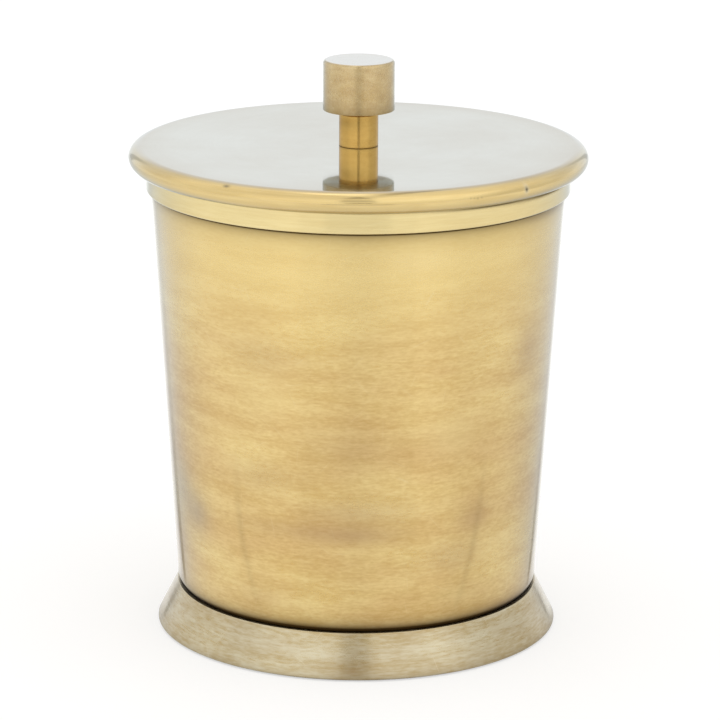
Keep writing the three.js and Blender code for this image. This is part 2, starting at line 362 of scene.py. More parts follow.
class TurnedTree:
    """The Geometry Nodes tree that turns a section round the Z axis."""

    MERGE = 1e-6
    SHARP = math.radians(32)

    def __init__(self) -> None:
        """Builds the tree once."""
        tree = bpy.data.node_groups.new("turned_piece", "GeometryNodeTree")
        self.tree = tree
        self.graph = Graph(tree)
        new = tree.interface.new_socket
        new("Section", in_out="INPUT", socket_type="NodeSocketGeometry")
        self.sides = new("Sides", in_out="INPUT", socket_type="NodeSocketInt").identifier
        self.finish = new("Finish", in_out="INPUT", socket_type="NodeSocketMaterial").identifier
        new("Piece", in_out="OUTPUT", socket_type="NodeSocketGeometry")
        self._build()

    def _build(self) -> None:
        """Places a grid's rows on the section's points, and its columns round the axis."""
        graph, add = self.graph, self.graph.add
        given = add("NodeGroupInput").outputs
        count = add("GeometryNodeAttributeDomainSize", component="MESH")
        graph.feed(count.inputs["Geometry"], given["Section"])
        grid = add("GeometryNodeMeshGrid")
        graph.feed(grid.inputs["Vertices X"], graph.plus(given["Sides"], 1.0))
        graph.feed(grid.inputs["Vertices Y"], count.outputs["Point Count"])
        index = add("GeometryNodeInputIndex").outputs[0]
        row = graph.math("FLOORED_MODULO", index, count.outputs["Point Count"])
        column = graph.math("FLOOR", graph.ratio(index, count.outputs["Point Count"]))
        turn = graph.ratio(graph.times(column, math.tau), given["Sides"])

        place = add("GeometryNodeInputPosition").outputs[0]
        parts = add("ShaderNodeSeparateXYZ")
        graph.feed(parts.inputs[0], self._sample("FLOAT_VECTOR", given["Section"], place, row))
        spot = add("ShaderNodeCombineXYZ")
        graph.feed(spot.inputs["X"], graph.times(parts.outputs["X"], graph.math("COSINE", turn)))
        graph.feed(spot.inputs["Y"], graph.times(parts.outputs["X"], graph.math("SINE", turn)))
        graph.feed(spot.inputs["Z"], parts.outputs["Z"])
        move = add("GeometryNodeSetPosition")
        graph.feed(move.inputs["Geometry"], grid.outputs["Mesh"])
        graph.feed(move.inputs["Position"], spot.outputs[0])

        layer = add("GeometryNodeInputNamedAttribute", data_type="FLOAT")
        layer.inputs["Name"].default_value = WEAR_LAYER
        wear = self._sample("FLOAT", given["Section"], layer.outputs["Attribute"], row)
        store = add("GeometryNodeStoreNamedAttribute", data_type="FLOAT", domain="POINT")
        store.inputs["Name"].default_value = WEAR_LAYER
        graph.feed(store.inputs["Geometry"], move.outputs["Geometry"])
        graph.feed(store.inputs["Value"], wear)

        merge = add("GeometryNodeMergeByDistance")
        merge.inputs["Distance"].default_value = self.MERGE
        graph.feed(merge.inputs["Geometry"], store.outputs["Geometry"])
        smooth = add("GeometryNodeSetShadeSmooth", domain="FACE")
        graph.feed(smooth.inputs["Geometry"], merge.outputs["Geometry"])
        angle = add("GeometryNodeInputMeshEdgeAngle").outputs["Unsigned Angle"]
        crisp = add("GeometryNodeSetShadeSmooth", domain="EDGE")
        crisp.inputs["Shade Smooth"].default_value = False
        graph.feed(crisp.inputs["Geometry"], smooth.outputs["Geometry"])
        graph.feed(crisp.inputs["Selection"], graph.math("GREATER_THAN", angle, self.SHARP))

        real = add("GeometryNodeRealizeInstances")
        graph.feed(real.inputs["Geometry"], crisp.outputs["Geometry"])
        dress = add("GeometryNodeSetMaterial")
        graph.feed(dress.inputs["Geometry"], real.outputs["Geometry"])
        graph.feed(dress.inputs["Material"], given["Finish"])
        graph.feed(add("NodeGroupOutput").inputs["Piece"], dress.outputs["Geometry"])

    def _sample(self, kind: str, source: Socket, value: Socket, row: Socket) -> Socket:
        """Reads a value of the section at a row's point.

        Args:
            kind: The value's type.
            source: The section.
            value: What is read.
            row: The point to read it at.

        Returns:
            The value's socket.
        """
        node = self.graph.add("GeometryNodeSampleIndex", data_type=kind, domain="POINT")
        self.graph.feed(node.inputs["Geometry"], source)
        self.graph.feed(node.inputs["Value"], value)
        self.graph.feed(node.inputs["Index"], row)
        return node.outputs["Value"]

    def turn(self, name: str, section: Section, sides: Sides, material: Material) -> Piece:
        """Makes a plain mesh from a section.

        Args:
            name: The piece's name.
            section: Its half section.
            sides: How many flats a full turn has.
            material: Its finish.

        Returns:
            The piece, at the origin, with its place in its mesh.
        """
        outline = section.points()
        wire = bpy.data.meshes.new(name + "_section")
        wire.from_pydata([(r, 0.0, z) for r, z, _ in outline], [], [])
        layer = wire.attributes.new(WEAR_LAYER, "FLOAT", "POINT")
        layer.data.foreach_set("value", [wear for _, _, wear in outline])
        piece = bpy.data.objects.new(name, wire)
        bpy.context.scene.collection.objects.link(piece)
        modifier = piece.modifiers.new("turned", "NODES")
        modifier.node_group = self.tree
        modifier[self.sides] = sides.value
        modifier[self.finish] = material
        shaped = piece.evaluated_get(bpy.context.evaluated_depsgraph_get())
        mesh = bpy.data.meshes.new_from_object(shaped)
        piece.modifiers.clear()
        piece.data = mesh
        mesh.name = name
        bpy.data.meshes.remove(wire)
        return piece


class SharedEffects:
    """Shader groups that several finishes use. They put out only masks."""

    # Short hairs of the grain, for each long one
    SHORT_HAIRS = 2.2
    # Scale of the grain's broad bands against its hairs
    BAND_SCALE = 0.16
    SMALLEST_REACH = 1e-5
    CLOUD_EDGE = 0.26
    # Noise between which an edge goes from least rubbed to fully rubbed
    RUBBED_NOISE = (0.3, 0.6)
    RUBBED_LEAST = 0.25

    def __init__(self) -> None:
        """Builds each group once."""
        self.grain = self._grain()
        self.patina = self._patina()
        self.settling = self._settling()
        self.scratches = self._scratches()
        self.wear = self._wear()
        self.joint = self._joint()
        self.mark = self._mark()
        self.level_face = self._level_face()
        self.outer_edge = self._outer_edge()

    @staticmethod
    def _start(name: str, inputs: dict[str, float], *outputs: str) -> tuple[Graph, dict, dict]:
        """Opens a group.

        Args:
            name: The group's name.
            inputs: Its inputs, with the values that they start from.
            outputs: The names of its outputs.

        Returns:
            The graph, the input sockets and the output sockets, by name.
        """
        tree = bpy.data.node_groups.new(name, "ShaderNodeTree")
        new = partial(tree.interface.new_socket, socket_type="NodeSocketFloat")
        for label, value in inputs.items():
            new(label, in_out="INPUT").default_value = value
        for label in outputs:
            new(label, in_out="OUTPUT")
        graph = Graph(tree)
        return graph, graph.add("NodeGroupInput").outputs, graph.add("NodeGroupOutput").inputs

    @staticmethod
    def _place(graph: Graph) -> Socket:
        """The place on the piece, in metres."""
        return graph.add("ShaderNodeTexCoord").outputs["Object"]

    def _parts(self, graph: Graph) -> tuple[Socket, ...]:
        """Takes the place on the piece apart.

        Args:
            graph: The group's graph.

        Returns:
            Its three coordinates.
        """
        parts = graph.add("ShaderNodeSeparateXYZ")
        graph.feed(parts.inputs[0], self._place(graph))
        return tuple(parts.outputs)

    @staticmethod
    def _vector(graph: Graph, x: Value, y: Value, z: Value) -> Socket:
        """Joins three values to one vector.

        Args:
            graph: The group's graph.
            x, y, z: The values.

        Returns:
            The vector's socket.
        """
        node = graph.add("ShaderNodeCombineXYZ")
        for socket, value in zip(node.inputs, (x, y, z)):
            graph.feed(socket, value)
        return node.outputs[0]

    def _reach(self, graph: Graph, x: Socket, y: Socket) -> Socket:
        """How far a place is from the axis."""
        return self._pair(graph, "LENGTH", self._vector(graph, x, y, 0.0))

    @staticmethod
    def _noise(
        graph: Graph, place: Socket, scale: Value, detail: float, rough: float = 0.5
    ) -> Socket:
        """Adds a noise texture.

        Args:
            graph: The group's graph.
            place: Where the noise is read.
            scale, detail, rough: The texture's own settings.

        Returns:
            The noise's value.
        """
        node = graph.add("ShaderNodeTexNoise", noise_dimensions="3D")
        graph.feed(node.inputs["Vector"], place)
        for name, value in (("Scale", scale), ("Detail", detail), ("Roughness", rough)):
            graph.feed(node.inputs[name], value)
        return node.outputs["Fac"]

    def _grain(self) -> Tree:
        """Lines left by turning and brushing, in rings with no seam.

        Lines are to a metre across the rings, and streaks are to a radian round them. Fine has long
        hairs and short ones, and Band is broader.

        Returns:
            The group's tree.
        """
        graph, given, out = self._start(
            "turned_grain", {"Lines": 1500.0, "Streaks": 3.0, "Seed": 0.0}, "Fine", "Band"
        )
        x, y, z = self._parts(graph)
        reach = self._reach(graph, x, y)
        safe = graph.most(reach, self.SMALLEST_REACH)
        across = graph.times(graph.minus(z, reach), given["Lines"])
        level = graph.plus(across, given["Seed"])

        def hairs(streaks: Socket) -> Socket:
            """Lays the place out along and across the lines.

            Args:
                streaks: How many streaks there are to a radian.

            Returns:
                The place to read the noise at.
            """
            round_x = graph.times(graph.ratio(x, safe), streaks)
            round_y = graph.times(graph.ratio(y, safe), streaks)
            return self._vector(graph, round_x, round_y, level)

        broad = hairs(given["Streaks"])
        narrow = hairs(graph.times(given["Streaks"], self.SHORT_HAIRS))
        long = self._noise(graph, broad, scale=1.0, detail=3.0, rough=0.65)
        short = self._noise(graph, narrow, scale=1.0, detail=2.0, rough=0.6)
        graph.feed(out["Fine"], graph.times(graph.plus(long, short), 0.5))
        graph.feed(out["Band"], self._noise(graph, broad, scale=self.BAND_SCALE, detail=2.0))
        return graph.tree

    def _patina(self) -> Tree:
        """Soft clouds of ageing, a little flattened.

        Returns:
            The group's tree.
        """
        graph, given, out = self._start(
            "aged_patina", {"Scale": 45.0, "Flatten": 2.4, "Seed": 0.0, "Cover": 0.5}, "Cloud"
        )
        x, y, z = self._parts(graph)
        place = self._vector(
            graph, graph.plus(x, given["Seed"]), y, graph.times(z, given["Flatten"])
        )
        cloud = self._noise(graph, place, given["Scale"], detail=5.0, rough=0.55)
        edge = graph.rest(given["Cover"])
        low = graph.minus(edge, self.CLOUD_EDGE)
        high = graph.plus(edge, self.CLOUD_EDGE)
        graph.feed(out["Cloud"], graph.spread(cloud, low, high, 0.0, 1.0))
        return graph.tree

    def _settling(self) -> Tree:
        """How much patina is left at a level, full below and thin above.

        Returns:
            The group's tree.
        """
        graph, given, out = self._start(
            "settled_patina", {"Full": 0.0, "Thin": 1.0, "Least": 1.0}, "Share"
        )
        level = self._parts(graph)[2]
        graph.feed(out["Share"], graph.spread(level, given["Full"], given["Thin"], 1.0, given["Least"]))
        return graph.tree

    def _scratches(self) -> Tree:
        """Short hairlines, one at most to a cell, each at its own slant.

        Returns:
            The group's tree.
        """
        graph, given, out = self._start(
            "handling_scratches", {"Cells": 150.0, "Length": 0.003, "Width": 0.00012}, "Mask"
        )
        place = self._place(graph)
        cell = graph.add("ShaderNodeTexVoronoi", voronoi_dimensions="3D", feature="F1")
        graph.feed(cell.inputs["Vector"], place)
        graph.feed(cell.inputs["Scale"], given["Cells"])
        away = self._pair(graph, "SUBTRACT", place, cell.outputs["Position"])
        slant = self._pair(graph, "SUBTRACT", cell.outputs["Color"], (0.5, 0.5, 0.5))
        slant = self._pair(graph, "NORMALIZE", slant)
        across = graph.math("ABSOLUTE", self._pair(graph, "DOT_PRODUCT", away, slant))
        line = graph.spread(across, 0.0, given["Width"], 1.0, 0.0)
        far = self._pair(graph, "LENGTH", away)
        half = graph.times(given["Length"], 0.5)
        short = graph.spread(far, half, given["Length"], 1.0, 0.0)
        graph.feed(out["Mask"], graph.times(line, short))
        return graph.tree

    @staticmethod
    def _pair(graph: Graph, operation: str, *values: Value) -> Socket:
        """Adds a Vector Math node.

        Args:
            graph: The group's graph.
            operation: The node's operation.
            values: Sockets or vectors for its inputs, in order.

        Returns:
            The result's socket, a number where the operation makes one.
        """
        node = graph.add("ShaderNodeVectorMath", operation=operation)
        for socket, value in zip(node.inputs, values):
            graph.feed(socket, value)
        return node.outputs["Value" if operation in ("DOT_PRODUCT", "LENGTH") else "Vector"]

    def _wear(self) -> Tree:
        """Edges rubbed bright, more in some places than in others.

        Returns:
            The group's tree.
        """
        graph, given, out = self._start("edge_wear", {"Amount": 0.6, "Scale": 180.0}, "Mask")
        layer = graph.add("ShaderNodeAttribute", attribute_name=WEAR_LAYER)
        patch = self._noise(graph, self._place(graph), given["Scale"], detail=3.0)
        broken = graph.spread(patch, *self.RUBBED_NOISE, self.RUBBED_LEAST, 1.0)
        edge = graph.times(layer.outputs["Fac"], given["Amount"])
        graph.feed(out["Mask"], graph.times(edge, broken))
        return graph.tree

    def _joint(self) -> Tree:
        """Dark patina and painted shade that fade away from a level.

        Returns:
            The group's tree.
        """
        graph, given, out = self._start("joint_patina_and_shade", {"Level": 0.0, "Reach": 0.001}, "Mask")
        level = self._parts(graph)[2]
        away = graph.math("ABSOLUTE", graph.minus(level, given["Level"]))
        fade = graph.times(graph.ratio(away, given["Reach"]), -1.0)
        graph.feed(out["Mask"], graph.math("EXPONENT", fade))
        return graph.tree

    def _mark(self) -> Tree:
        """One soft oval on a round wall, at a bearing to the right of the front.

        It may lean and bend, and it stays outside its inner radius.

        Returns:
            The group's tree.
        """
        sizes = {"Half width": 0.01, "Half height": 0.01}
        graph, given, out = self._start(
            "soft_mark",
            {"Bearing": 0.0, "Level": 0.0, **sizes, "Lean": 0.0, "Bend": 0.0, "Inner": 0.0},
            "Mask",
        )
        x, y, z = self._parts(graph)
        cosine, sine = graph.math("COSINE", given["Bearing"]), graph.math("SINE", given["Bearing"])
        along = graph.plus(graph.times(x, cosine), graph.times(y, sine))
        facing = graph.minus(graph.times(x, sine), graph.times(y, cosine))
        rise = graph.minus(z, given["Level"])
        bend = graph.plus(given["Lean"], graph.times(rise, given["Bend"]))
        slid = graph.minus(along, graph.times(rise, bend))
        wide = graph.ratio(slid, given["Half width"])
        tall = graph.ratio(rise, given["Half height"])
        away = graph.plus(graph.times(wide, wide), graph.times(tall, tall))
        oval = graph.math("EXPONENT", graph.times(away, -1.0))
        oval = graph.times(oval, graph.math("GREATER_THAN", facing, 0.0))
        outside = graph.math("GREATER_THAN", self._reach(graph, x, y), given["Inner"])
        graph.feed(out["Mask"], graph.times(oval, outside))
        return graph.tree

    def _outer_edge(self) -> Tree:
        """The outer part of a round top, from one radius on.

        Returns:
            The group's tree.
        """
        graph, given, out = self._start("outer_edge", {"Start": 0.0, "Full": 1.0}, "Mask")
        x, y, _ = self._parts(graph)
        reach = self._reach(graph, x, y)
        graph.feed(out["Mask"], graph.spread(reach, given["Start"], given["Full"], 0.0, 1.0))
        return graph.tree

    def _level_face(self) -> Tree:
        """Faces that look straight up.

        Returns:
            The group's tree.
        """
        graph, given, out = self._start("level_face", {"From": 0.9, "To": 0.98}, "Mask")
        parts = graph.add("ShaderNodeSeparateXYZ")
        graph.feed(parts.inputs[0], graph.add("ShaderNodeNewGeometry").outputs["True Normal"])
        graph.feed(out["Mask"], graph.spread(parts.outputs["Z"], given["From"], given["To"], 0.0, 1.0))
        return graph.tree


def open_material(name: str) -> tuple[Material, Graph, bpy.types.Node]:
    """Starts a material with one Principled shader.

    Args:
        name: The material's name.

    Returns:
        The material, its graph and the shader node.
    """
    made = bpy.data.materials.new(name)
    made.use_nodes = True
    made.node_tree.nodes.clear()
    graph = Graph(made.node_tree)
    shader = graph.add("ShaderNodeBsdfPrincipled")
    graph.feed(graph.add("ShaderNodeOutputMaterial").inputs["Surface"], shader.outputs[0])
    return made, graph, shader


@dataclass(frozen=True)
class Joint:
    """A level where dark patina and painted shade gather, and how they fade."""

    level: float
    reach: float
    strength: float


@dataclass(frozen=True)
class Mark:
    """One soft mark on a wall: a smudge, a run, a pit, or a painted shadow of the gap under the lid.

    Its bearing is in degrees to the right of the front, and its lengths are in millimetres. It stays
    outside its inner radius. Depth is how far it dents the wall, and dull how far it takes the metal and
    lacquer away, as the painted shadows of the gap under the lid do.
    """

    bearing: float
    level: float
    half_width: float
    half_height: float
    strength: float
    colour: Colour
    lean: float = 0.0
    bend: float = 0.0
    depth: float = 0.0
    inner: float = 0.0
    dull: float = 0.0

    def sizes(self) -> dict[str, float]:
        """Gathers the inputs of the shared group.

        Returns:
            The inputs by name, in radians and metres.
        """
        lengths = ("level", "half_width", "half_height", "inner")
        return {
            "bearing": math.radians(self.bearing),
            "lean": self.lean,
            "bend": self.bend,
            **{name: getattr(self, name) * MM for name in lengths},
        }


@dataclass(frozen=True)
class Settling:
    """Levels between which patina thins out, and the share of it that is left above."""

    full: float = 0.0
    thin: float = 1.0
    least: float = 1.0


@dataclass(frozen=True)
class BrassFinish:
    """One finish of aged brass under lacquer.

    Faces that look straight up may be polished, and painted a paler colour of their own as a painted
    sheen, with clouds of patina and a warmer rim.
    """

    name: str
    slot: str
    clean: Colour
    aged: Colour
    bright: Colour
    glance: Colour
    roughness: float
    brushing: float
    lacquer: float
    lacquer_roughness: float = 0.06
    lacquer_ior: float = 1.5
    lines: float = 1500.0
    streaks: float = 3.0
    grain: float = 0.05
    relief: float = 0.1
    patina: float = 0.4
    patina_scale: float = 45.0
    cover: float = 0.5
    scratches: float = 0.3
    wear: float = 0.3
    seed: float = 0.0
    # How far faces that look straight up are polished, and painted the paler level colour as a painted
    # sheen
    level_polish_and_sheen: float = 0.0
    level_colour: Colour = srgb(231, 213, 182)
    level_patina: float = 0.0
    rim_patina: float = 0.0
    rim_from: float = 0.0
    rim_full: float = 1.0
    settling: Settling = Settling()
    joints: tuple[Joint, ...] = ()
    marks: tuple[Mark, ...] = ()

    # Brush lines run round the piece, so highlights spread along its height
    BRUSH_TURN = 0.25
    RELIEF_DEPTH = 0.00002
    # Colour of the dark patina and of the shade painted into the joints
    DARK = srgb(72, 53, 26)
    # What polishing leaves of the grain on level faces
    LEVEL_GRAIN = 0.3
    # The grain's dark lines are browner than the brass, and its rubbed hairs paler
    GRAIN_TINT = (0.72, 1.08, 1.85)
    # Broad bands in the grain's tone, and the values between which the tone swings
    BAND_SHARE = 0.6
    TONE_RANGE = (0.52, 1.08)
    # What ageing, grain, the joints' patina and painted shade, and the painted gap shadows add to the
    # roughness, and what polishing takes from it
    AGED_ROUGHNESS = 0.06
    GRAIN_ROUGHNESS = 0.5
    JOINT_ROUGHNESS = 0.25
    GAP_SHADOW_ROUGHNESS = 0.55
    POLISHED_OFF = 0.6
    FINE_MIDDLE = 0.5

    def material(self, effects: SharedEffects) -> Material:
        """Builds the finish.

        Args:
            effects: The shared groups.

        Returns:
            The material.
        """
        made, graph, shader = open_material(self.name)
        for name, value in (
            ("Metallic", 1.0),
            ("Specular Tint", self.glance),
            ("Anisotropic", self.brushing),
            ("Anisotropic Rotation", self.BRUSH_TURN),
            ("Coat Roughness", self.lacquer_roughness),
            ("Coat IOR", self.lacquer_ior),
        ):
            shader.inputs[name].default_value = value

        grain = graph.group(effects.grain, lines=self.lines, streaks=self.streaks, seed=self.seed)
        fine, band = grain.outputs["Fine"], grain.outputs["Band"]
        flat = graph.times(graph.group(effects.level_face).outputs["Mask"], self.level_polish_and_sheen)
        kept = graph.rest(flat)
        patina = graph.group(effects.patina, scale=self.patina_scale, seed=self.seed, cover=self.cover)
        settled = graph.group(
            effects.settling, full=self.settling.full, thin=self.settling.thin, least=self.settling.least
        )
        aged = graph.times(patina.outputs["Cloud"], self.patina)
        aged = graph.times(graph.times(aged, settled.outputs["Share"]), kept)
        scratch = graph.times(graph.group(effects.scratches).outputs["Mask"], self.scratches)

        colour = graph.mix(aged, self.clean, self.aged)
        level = self.level_colour
        if self.level_patina:
            rim = graph.group(effects.outer_edge, start=self.rim_from, full=self.rim_full)
            warmer = graph.times(rim.outputs["Mask"], self.rim_patina)
            clouded = graph.times(patina.outputs["Cloud"], self.level_patina)
            worn = graph.plus(clouded, warmer, clamp=True)
            level = graph.mix(worn, level, self.aged)
        # Faces that look straight up take the paler level colour: partly polish, partly a painted sheen
        colour = graph.mix(flat, colour, level)
        grained = graph.plus(self.LEVEL_GRAIN, graph.times(kept, 1 - self.LEVEL_GRAIN))
        grained = graph.times(grained, graph.math("POWER", settled.outputs["Share"], 0.5))
        colour = graph.mix(grained, colour, self._tone(graph, fine, band), "MULTIPLY")
        colour = graph.mix(scratch, colour, self.bright)
        rubbed = graph.group(effects.wear, amount=self.wear).outputs["Mask"]
        colour = graph.mix(rubbed, colour, self.bright)
        colour, dents, gap_shadow = self._mark(graph, effects, colour)
        # Dark patina and painted shade in the joints, which also take the lacquer away
        colour, patina_and_shade = self._darken(graph, effects, colour)
        graph.feed(shader.inputs["Base Color"], colour)
        clear = graph.rest(graph.most(patina_and_shade, gap_shadow))
        graph.feed(shader.inputs["Coat Weight"], graph.times(clear, self.lacquer))
        # The painted gap shadows are matt and not metal
        if any(mark.dull for mark in self.marks):
            graph.feed(shader.inputs["Metallic"], graph.rest(gap_shadow))
            shader.inputs["Specular IOR Level"].default_value = 0.0

        uneven = graph.times(graph.minus(fine, self.FINE_MIDDLE), kept)
        rough = self.roughness
        for mask, change in (
            (aged, self.AGED_ROUGHNESS),
            (uneven, self.GRAIN_ROUGHNESS * self.grain),
            (flat, -self.POLISHED_OFF * self.roughness),
            (patina_and_shade, self.JOINT_ROUGHNESS),
            (gap_shadow, self.GAP_SHADOW_ROUGHNESS),
        ):
            rough = graph.plus(rough, graph.times(mask, change))
        graph.feed(shader.inputs["Roughness"], rough)

        bump = graph.add("ShaderNodeBump")
        bump.inputs["Strength"].default_value = self.relief
        bump.inputs["Distance"].default_value = self.RELIEF_DEPTH
        height = graph.times(fine, grained)
        graph.feed(bump.inputs["Height"], graph.minus(height, dents))
        graph.feed(shader.inputs["Normal"], bump.outputs["Normal"])
        return made

    def _tone(self, graph: Graph, fine: Socket, band: Socket) -> Socket:
        """Makes the grain a tone that multiplies the colour.

        Args:
            graph: The material's graph.
            fine, band: The grain's hairs and its broad bands.

        Returns:
            The tone's socket.
        """
        both = graph.plus(fine, graph.times(band, self.BAND_SHARE))
        tone = graph.add("ShaderNodeCombineColor")
        for channel, tint in zip(tone.inputs, self.GRAIN_TINT):
            swing = self.grain * tint
            graph.feed(channel, graph.spread(both, *self.TONE_RANGE, 1 - swing, 1 + swing))
        return tone.outputs[0]

    def _mark(self, graph: Graph, effects: SharedEffects, colour: Socket) -> tuple[Socket, Value, Value]:
        """Lays the marks over a colour.

        Args:
            graph: The material's graph.
            effects: The shared groups.
            colour: The colour so far.

        Returns:
            The marked colour, the depth of dents and the mask of what takes the gloss away.
        """
        dents = gap_shadow = 0.0
        for mark in self.marks:
            oval = graph.group(effects.mark, **mark.sizes()).outputs["Mask"]
            colour = graph.mix(graph.times(oval, mark.strength), colour, mark.colour)
            dents = graph.plus(dents, graph.times(oval, mark.depth))
            gap_shadow = graph.most(gap_shadow, graph.times(oval, mark.dull))
        return colour, dents, gap_shadow

    def _darken(self, graph: Graph, effects: SharedEffects, colour: Socket) -> tuple[Socket, Value]:
        """Lays dark patina and painted shade into the joints.

        Args:
            graph: The material's graph.
            effects: The shared groups.
            colour: The colour so far.

        Returns:
            The darkened colour, and the mask of the dark patina and painted shade.
        """
        patina_and_shade = 0.0
        for joint in self.joints:
            near = graph.group(effects.joint, level=joint.level, reach=joint.reach).outputs["Mask"]
            dark = graph.times(near, joint.strength, clamp=True)
            patina_and_shade = graph.most(patina_and_shade, dark)
        return graph.mix(patina_and_shade, colour, self.DARK), patina_and_shade


@dataclass(frozen=True)
class SteelFinish:
    """Zinc-plated steel of the hidden fasteners."""

    name: str = "zinced_steel"
    slot: str = "fastener_steel"
    clean: Colour = srgb(176, 177, 174)
    dull: Colour = srgb(128, 130, 130)
    bright: Colour = srgb(215, 215, 212)
    dulled: float = 0.6
    wear: float = 0.5
    grain_range: Pair = (0.2, 0.8)
    roughness: Pair = (0.28, 0.46)

    def material(self, effects: SharedEffects) -> Material:
        """Builds the finish.

        Args:
            effects: The shared groups.

        Returns:
            The material.
        """
        made, graph, shader = open_material(self.name)
        shader.inputs["Metallic"].default_value = 1.0
        fine = graph.group(effects.grain, lines=4000.0, streaks=2.0, seed=7.0).outputs["Fine"]
        cloud = graph.group(effects.patina, scale=300.0, seed=3.0, cover=0.45).outputs["Cloud"]
        wear = graph.group(effects.wear, amount=self.wear).outputs["Mask"]
        colour = graph.mix(graph.times(cloud, self.dulled), self.clean, self.dull)
        graph.feed(shader.inputs["Base Color"], graph.mix(wear, colour, self.bright))
        graph.feed(shader.inputs["Roughness"], graph.spread(fine, *self.grain_range, *self.roughness))
        return made


@dataclass(frozen=True)
class RubberFinish:
    """Black moulded rubber of the foot's grip ring."""

    name: str = "black_rubber"
    slot: str = "foot_rubber_black"
    clean: Colour = srgb(30, 30, 29)
    dusty: Colour = srgb(58, 57, 55)
    dust: float = 0.5
    roughness: Pair = (0.72, 0.9)

    def material(self, effects: SharedEffects) -> Material:
        """Builds the finish.

        Args:
            effects: The shared groups.

        Returns:
            The material.
        """
        made, graph, shader = open_material(self.name)
        cloud = graph.group(effects.patina, scale=220.0, seed=5.0, cover=0.5).outputs["Cloud"]
        dust = graph.times(cloud, self.dust)
        graph.feed(shader.inputs["Base Color"], graph.mix(dust, self.clean, self.dusty))
        graph.feed(shader.inputs["Roughness"], graph.spread(cloud, 0.0, 1.0, *self.roughness))
        return made


Finish = Union[BrassFinish, SteelFinish, RubberFinish]


@dataclass(frozen=True)
class Span:
    """What the frame says of one turned node: its levels, its outside and its bore."""

    bottom: float
    top: float
    radius: float
    bore: float

    @classmethod
    def of(cls, node: str) -> "Span":
        """Measures a node of the frame.

        Args:
            node: The node's name.

        Returns:
            The node's span.
        """
        low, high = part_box(node)
        reaches = [vertex.co.xy.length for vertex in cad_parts[node].data.vertices]
        return cls(low.z, high.z, high.x, min(reaches))

    @property
    def height(self) -> float:
        """From the lowest level to the highest."""
        return self.top - self.bottom

    def flat_ring(self, edge: float) -> Section:
        """Draws a flat ring that fills the span.

        Args:
            edge: The rounding of every edge.

        Returns:
            The ring's half section.
        """
        return Section((
            Corner(self.bore, self.bottom, edge),
            Corner(self.radius, self.bottom, edge),
            Corner(self.radius, self.top, edge),
            Corner(self.bore, self.top, edge),
        ))


class Workshop:
    """Makes turned pieces, and seats each one on its body."""

    def __init__(self) -> None:
        """Builds the shared trees."""
        self.lathe = TurnedTree()
        self.effects = SharedEffects()
        self.made: dict[str, Material] = {}

    def material(self, finish: Finish) -> Material:
        """Gives a finish's material, which is built once.

        Args:
            finish: How a piece looks.

        Returns:
            The material.
        """
        if finish.name not in self.made:
            self.made[finish.name] = finish.material(self.effects)
        return self.made[finish.name]

    def turn(self, node: str, body: Body, section: Section, sides: Sides, finish: Finish) -> Piece:
        """Turns a piece that stands for a node.

        Args:
            node: The node's name.
            body: The body that carries it.
            section: The piece's half section.
            sides: How many flats a full turn has.
            finish: How it looks.

        Returns:
            The seated piece.
        """
        piece = self.lathe.turn(node + "_turned", section, sides, self.material(finish))
        return self.seat(piece, node, body)

    def seat(self, piece: Piece, node: str, body: Body) -> Piece:
        """Puts a piece in a node's place.

        Args:
            piece: The piece.
            node: The node that it replaces.
            body: The body that carries it.

        Returns:
            The same piece.
        """
        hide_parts(node)
        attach(piece, body.value)
        LOG.info("%s: %d faces", piece.name, len(piece.data.polygons))
        return piece

    def dress(self, node: str, finish: Finish) -> None:
        """Gives a finish to a node that stays as it is.

        Args:
            node: The node's name.
            finish: How it looks.
        """
        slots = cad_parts[node].data.materials
        slots.clear()
        slots.append(self.material(finish))
        LOG.info("%s: kept from the frame", node)


SMUDGE = srgb(176, 138, 96)
RUN = srgb(150, 116, 52)
# Painted shadow of a gap between the lid and the rim ring on the right, laid on both their edges
PAINTED_GAP_SHADOW = srgb(84, 62, 20)
HAZE = srgb(160, 142, 122)
FAINT = srgb(176, 154, 96)
RUBBED = srgb(246, 222, 158)
PIT = srgb(112, 98, 62)
PIT_LIP = srgb(250, 242, 214)
# In millimetres: inside the first the lid's top is level, and outside the second is the rim's wall
EDGE = 54.0
RIM_WALL = 52.4

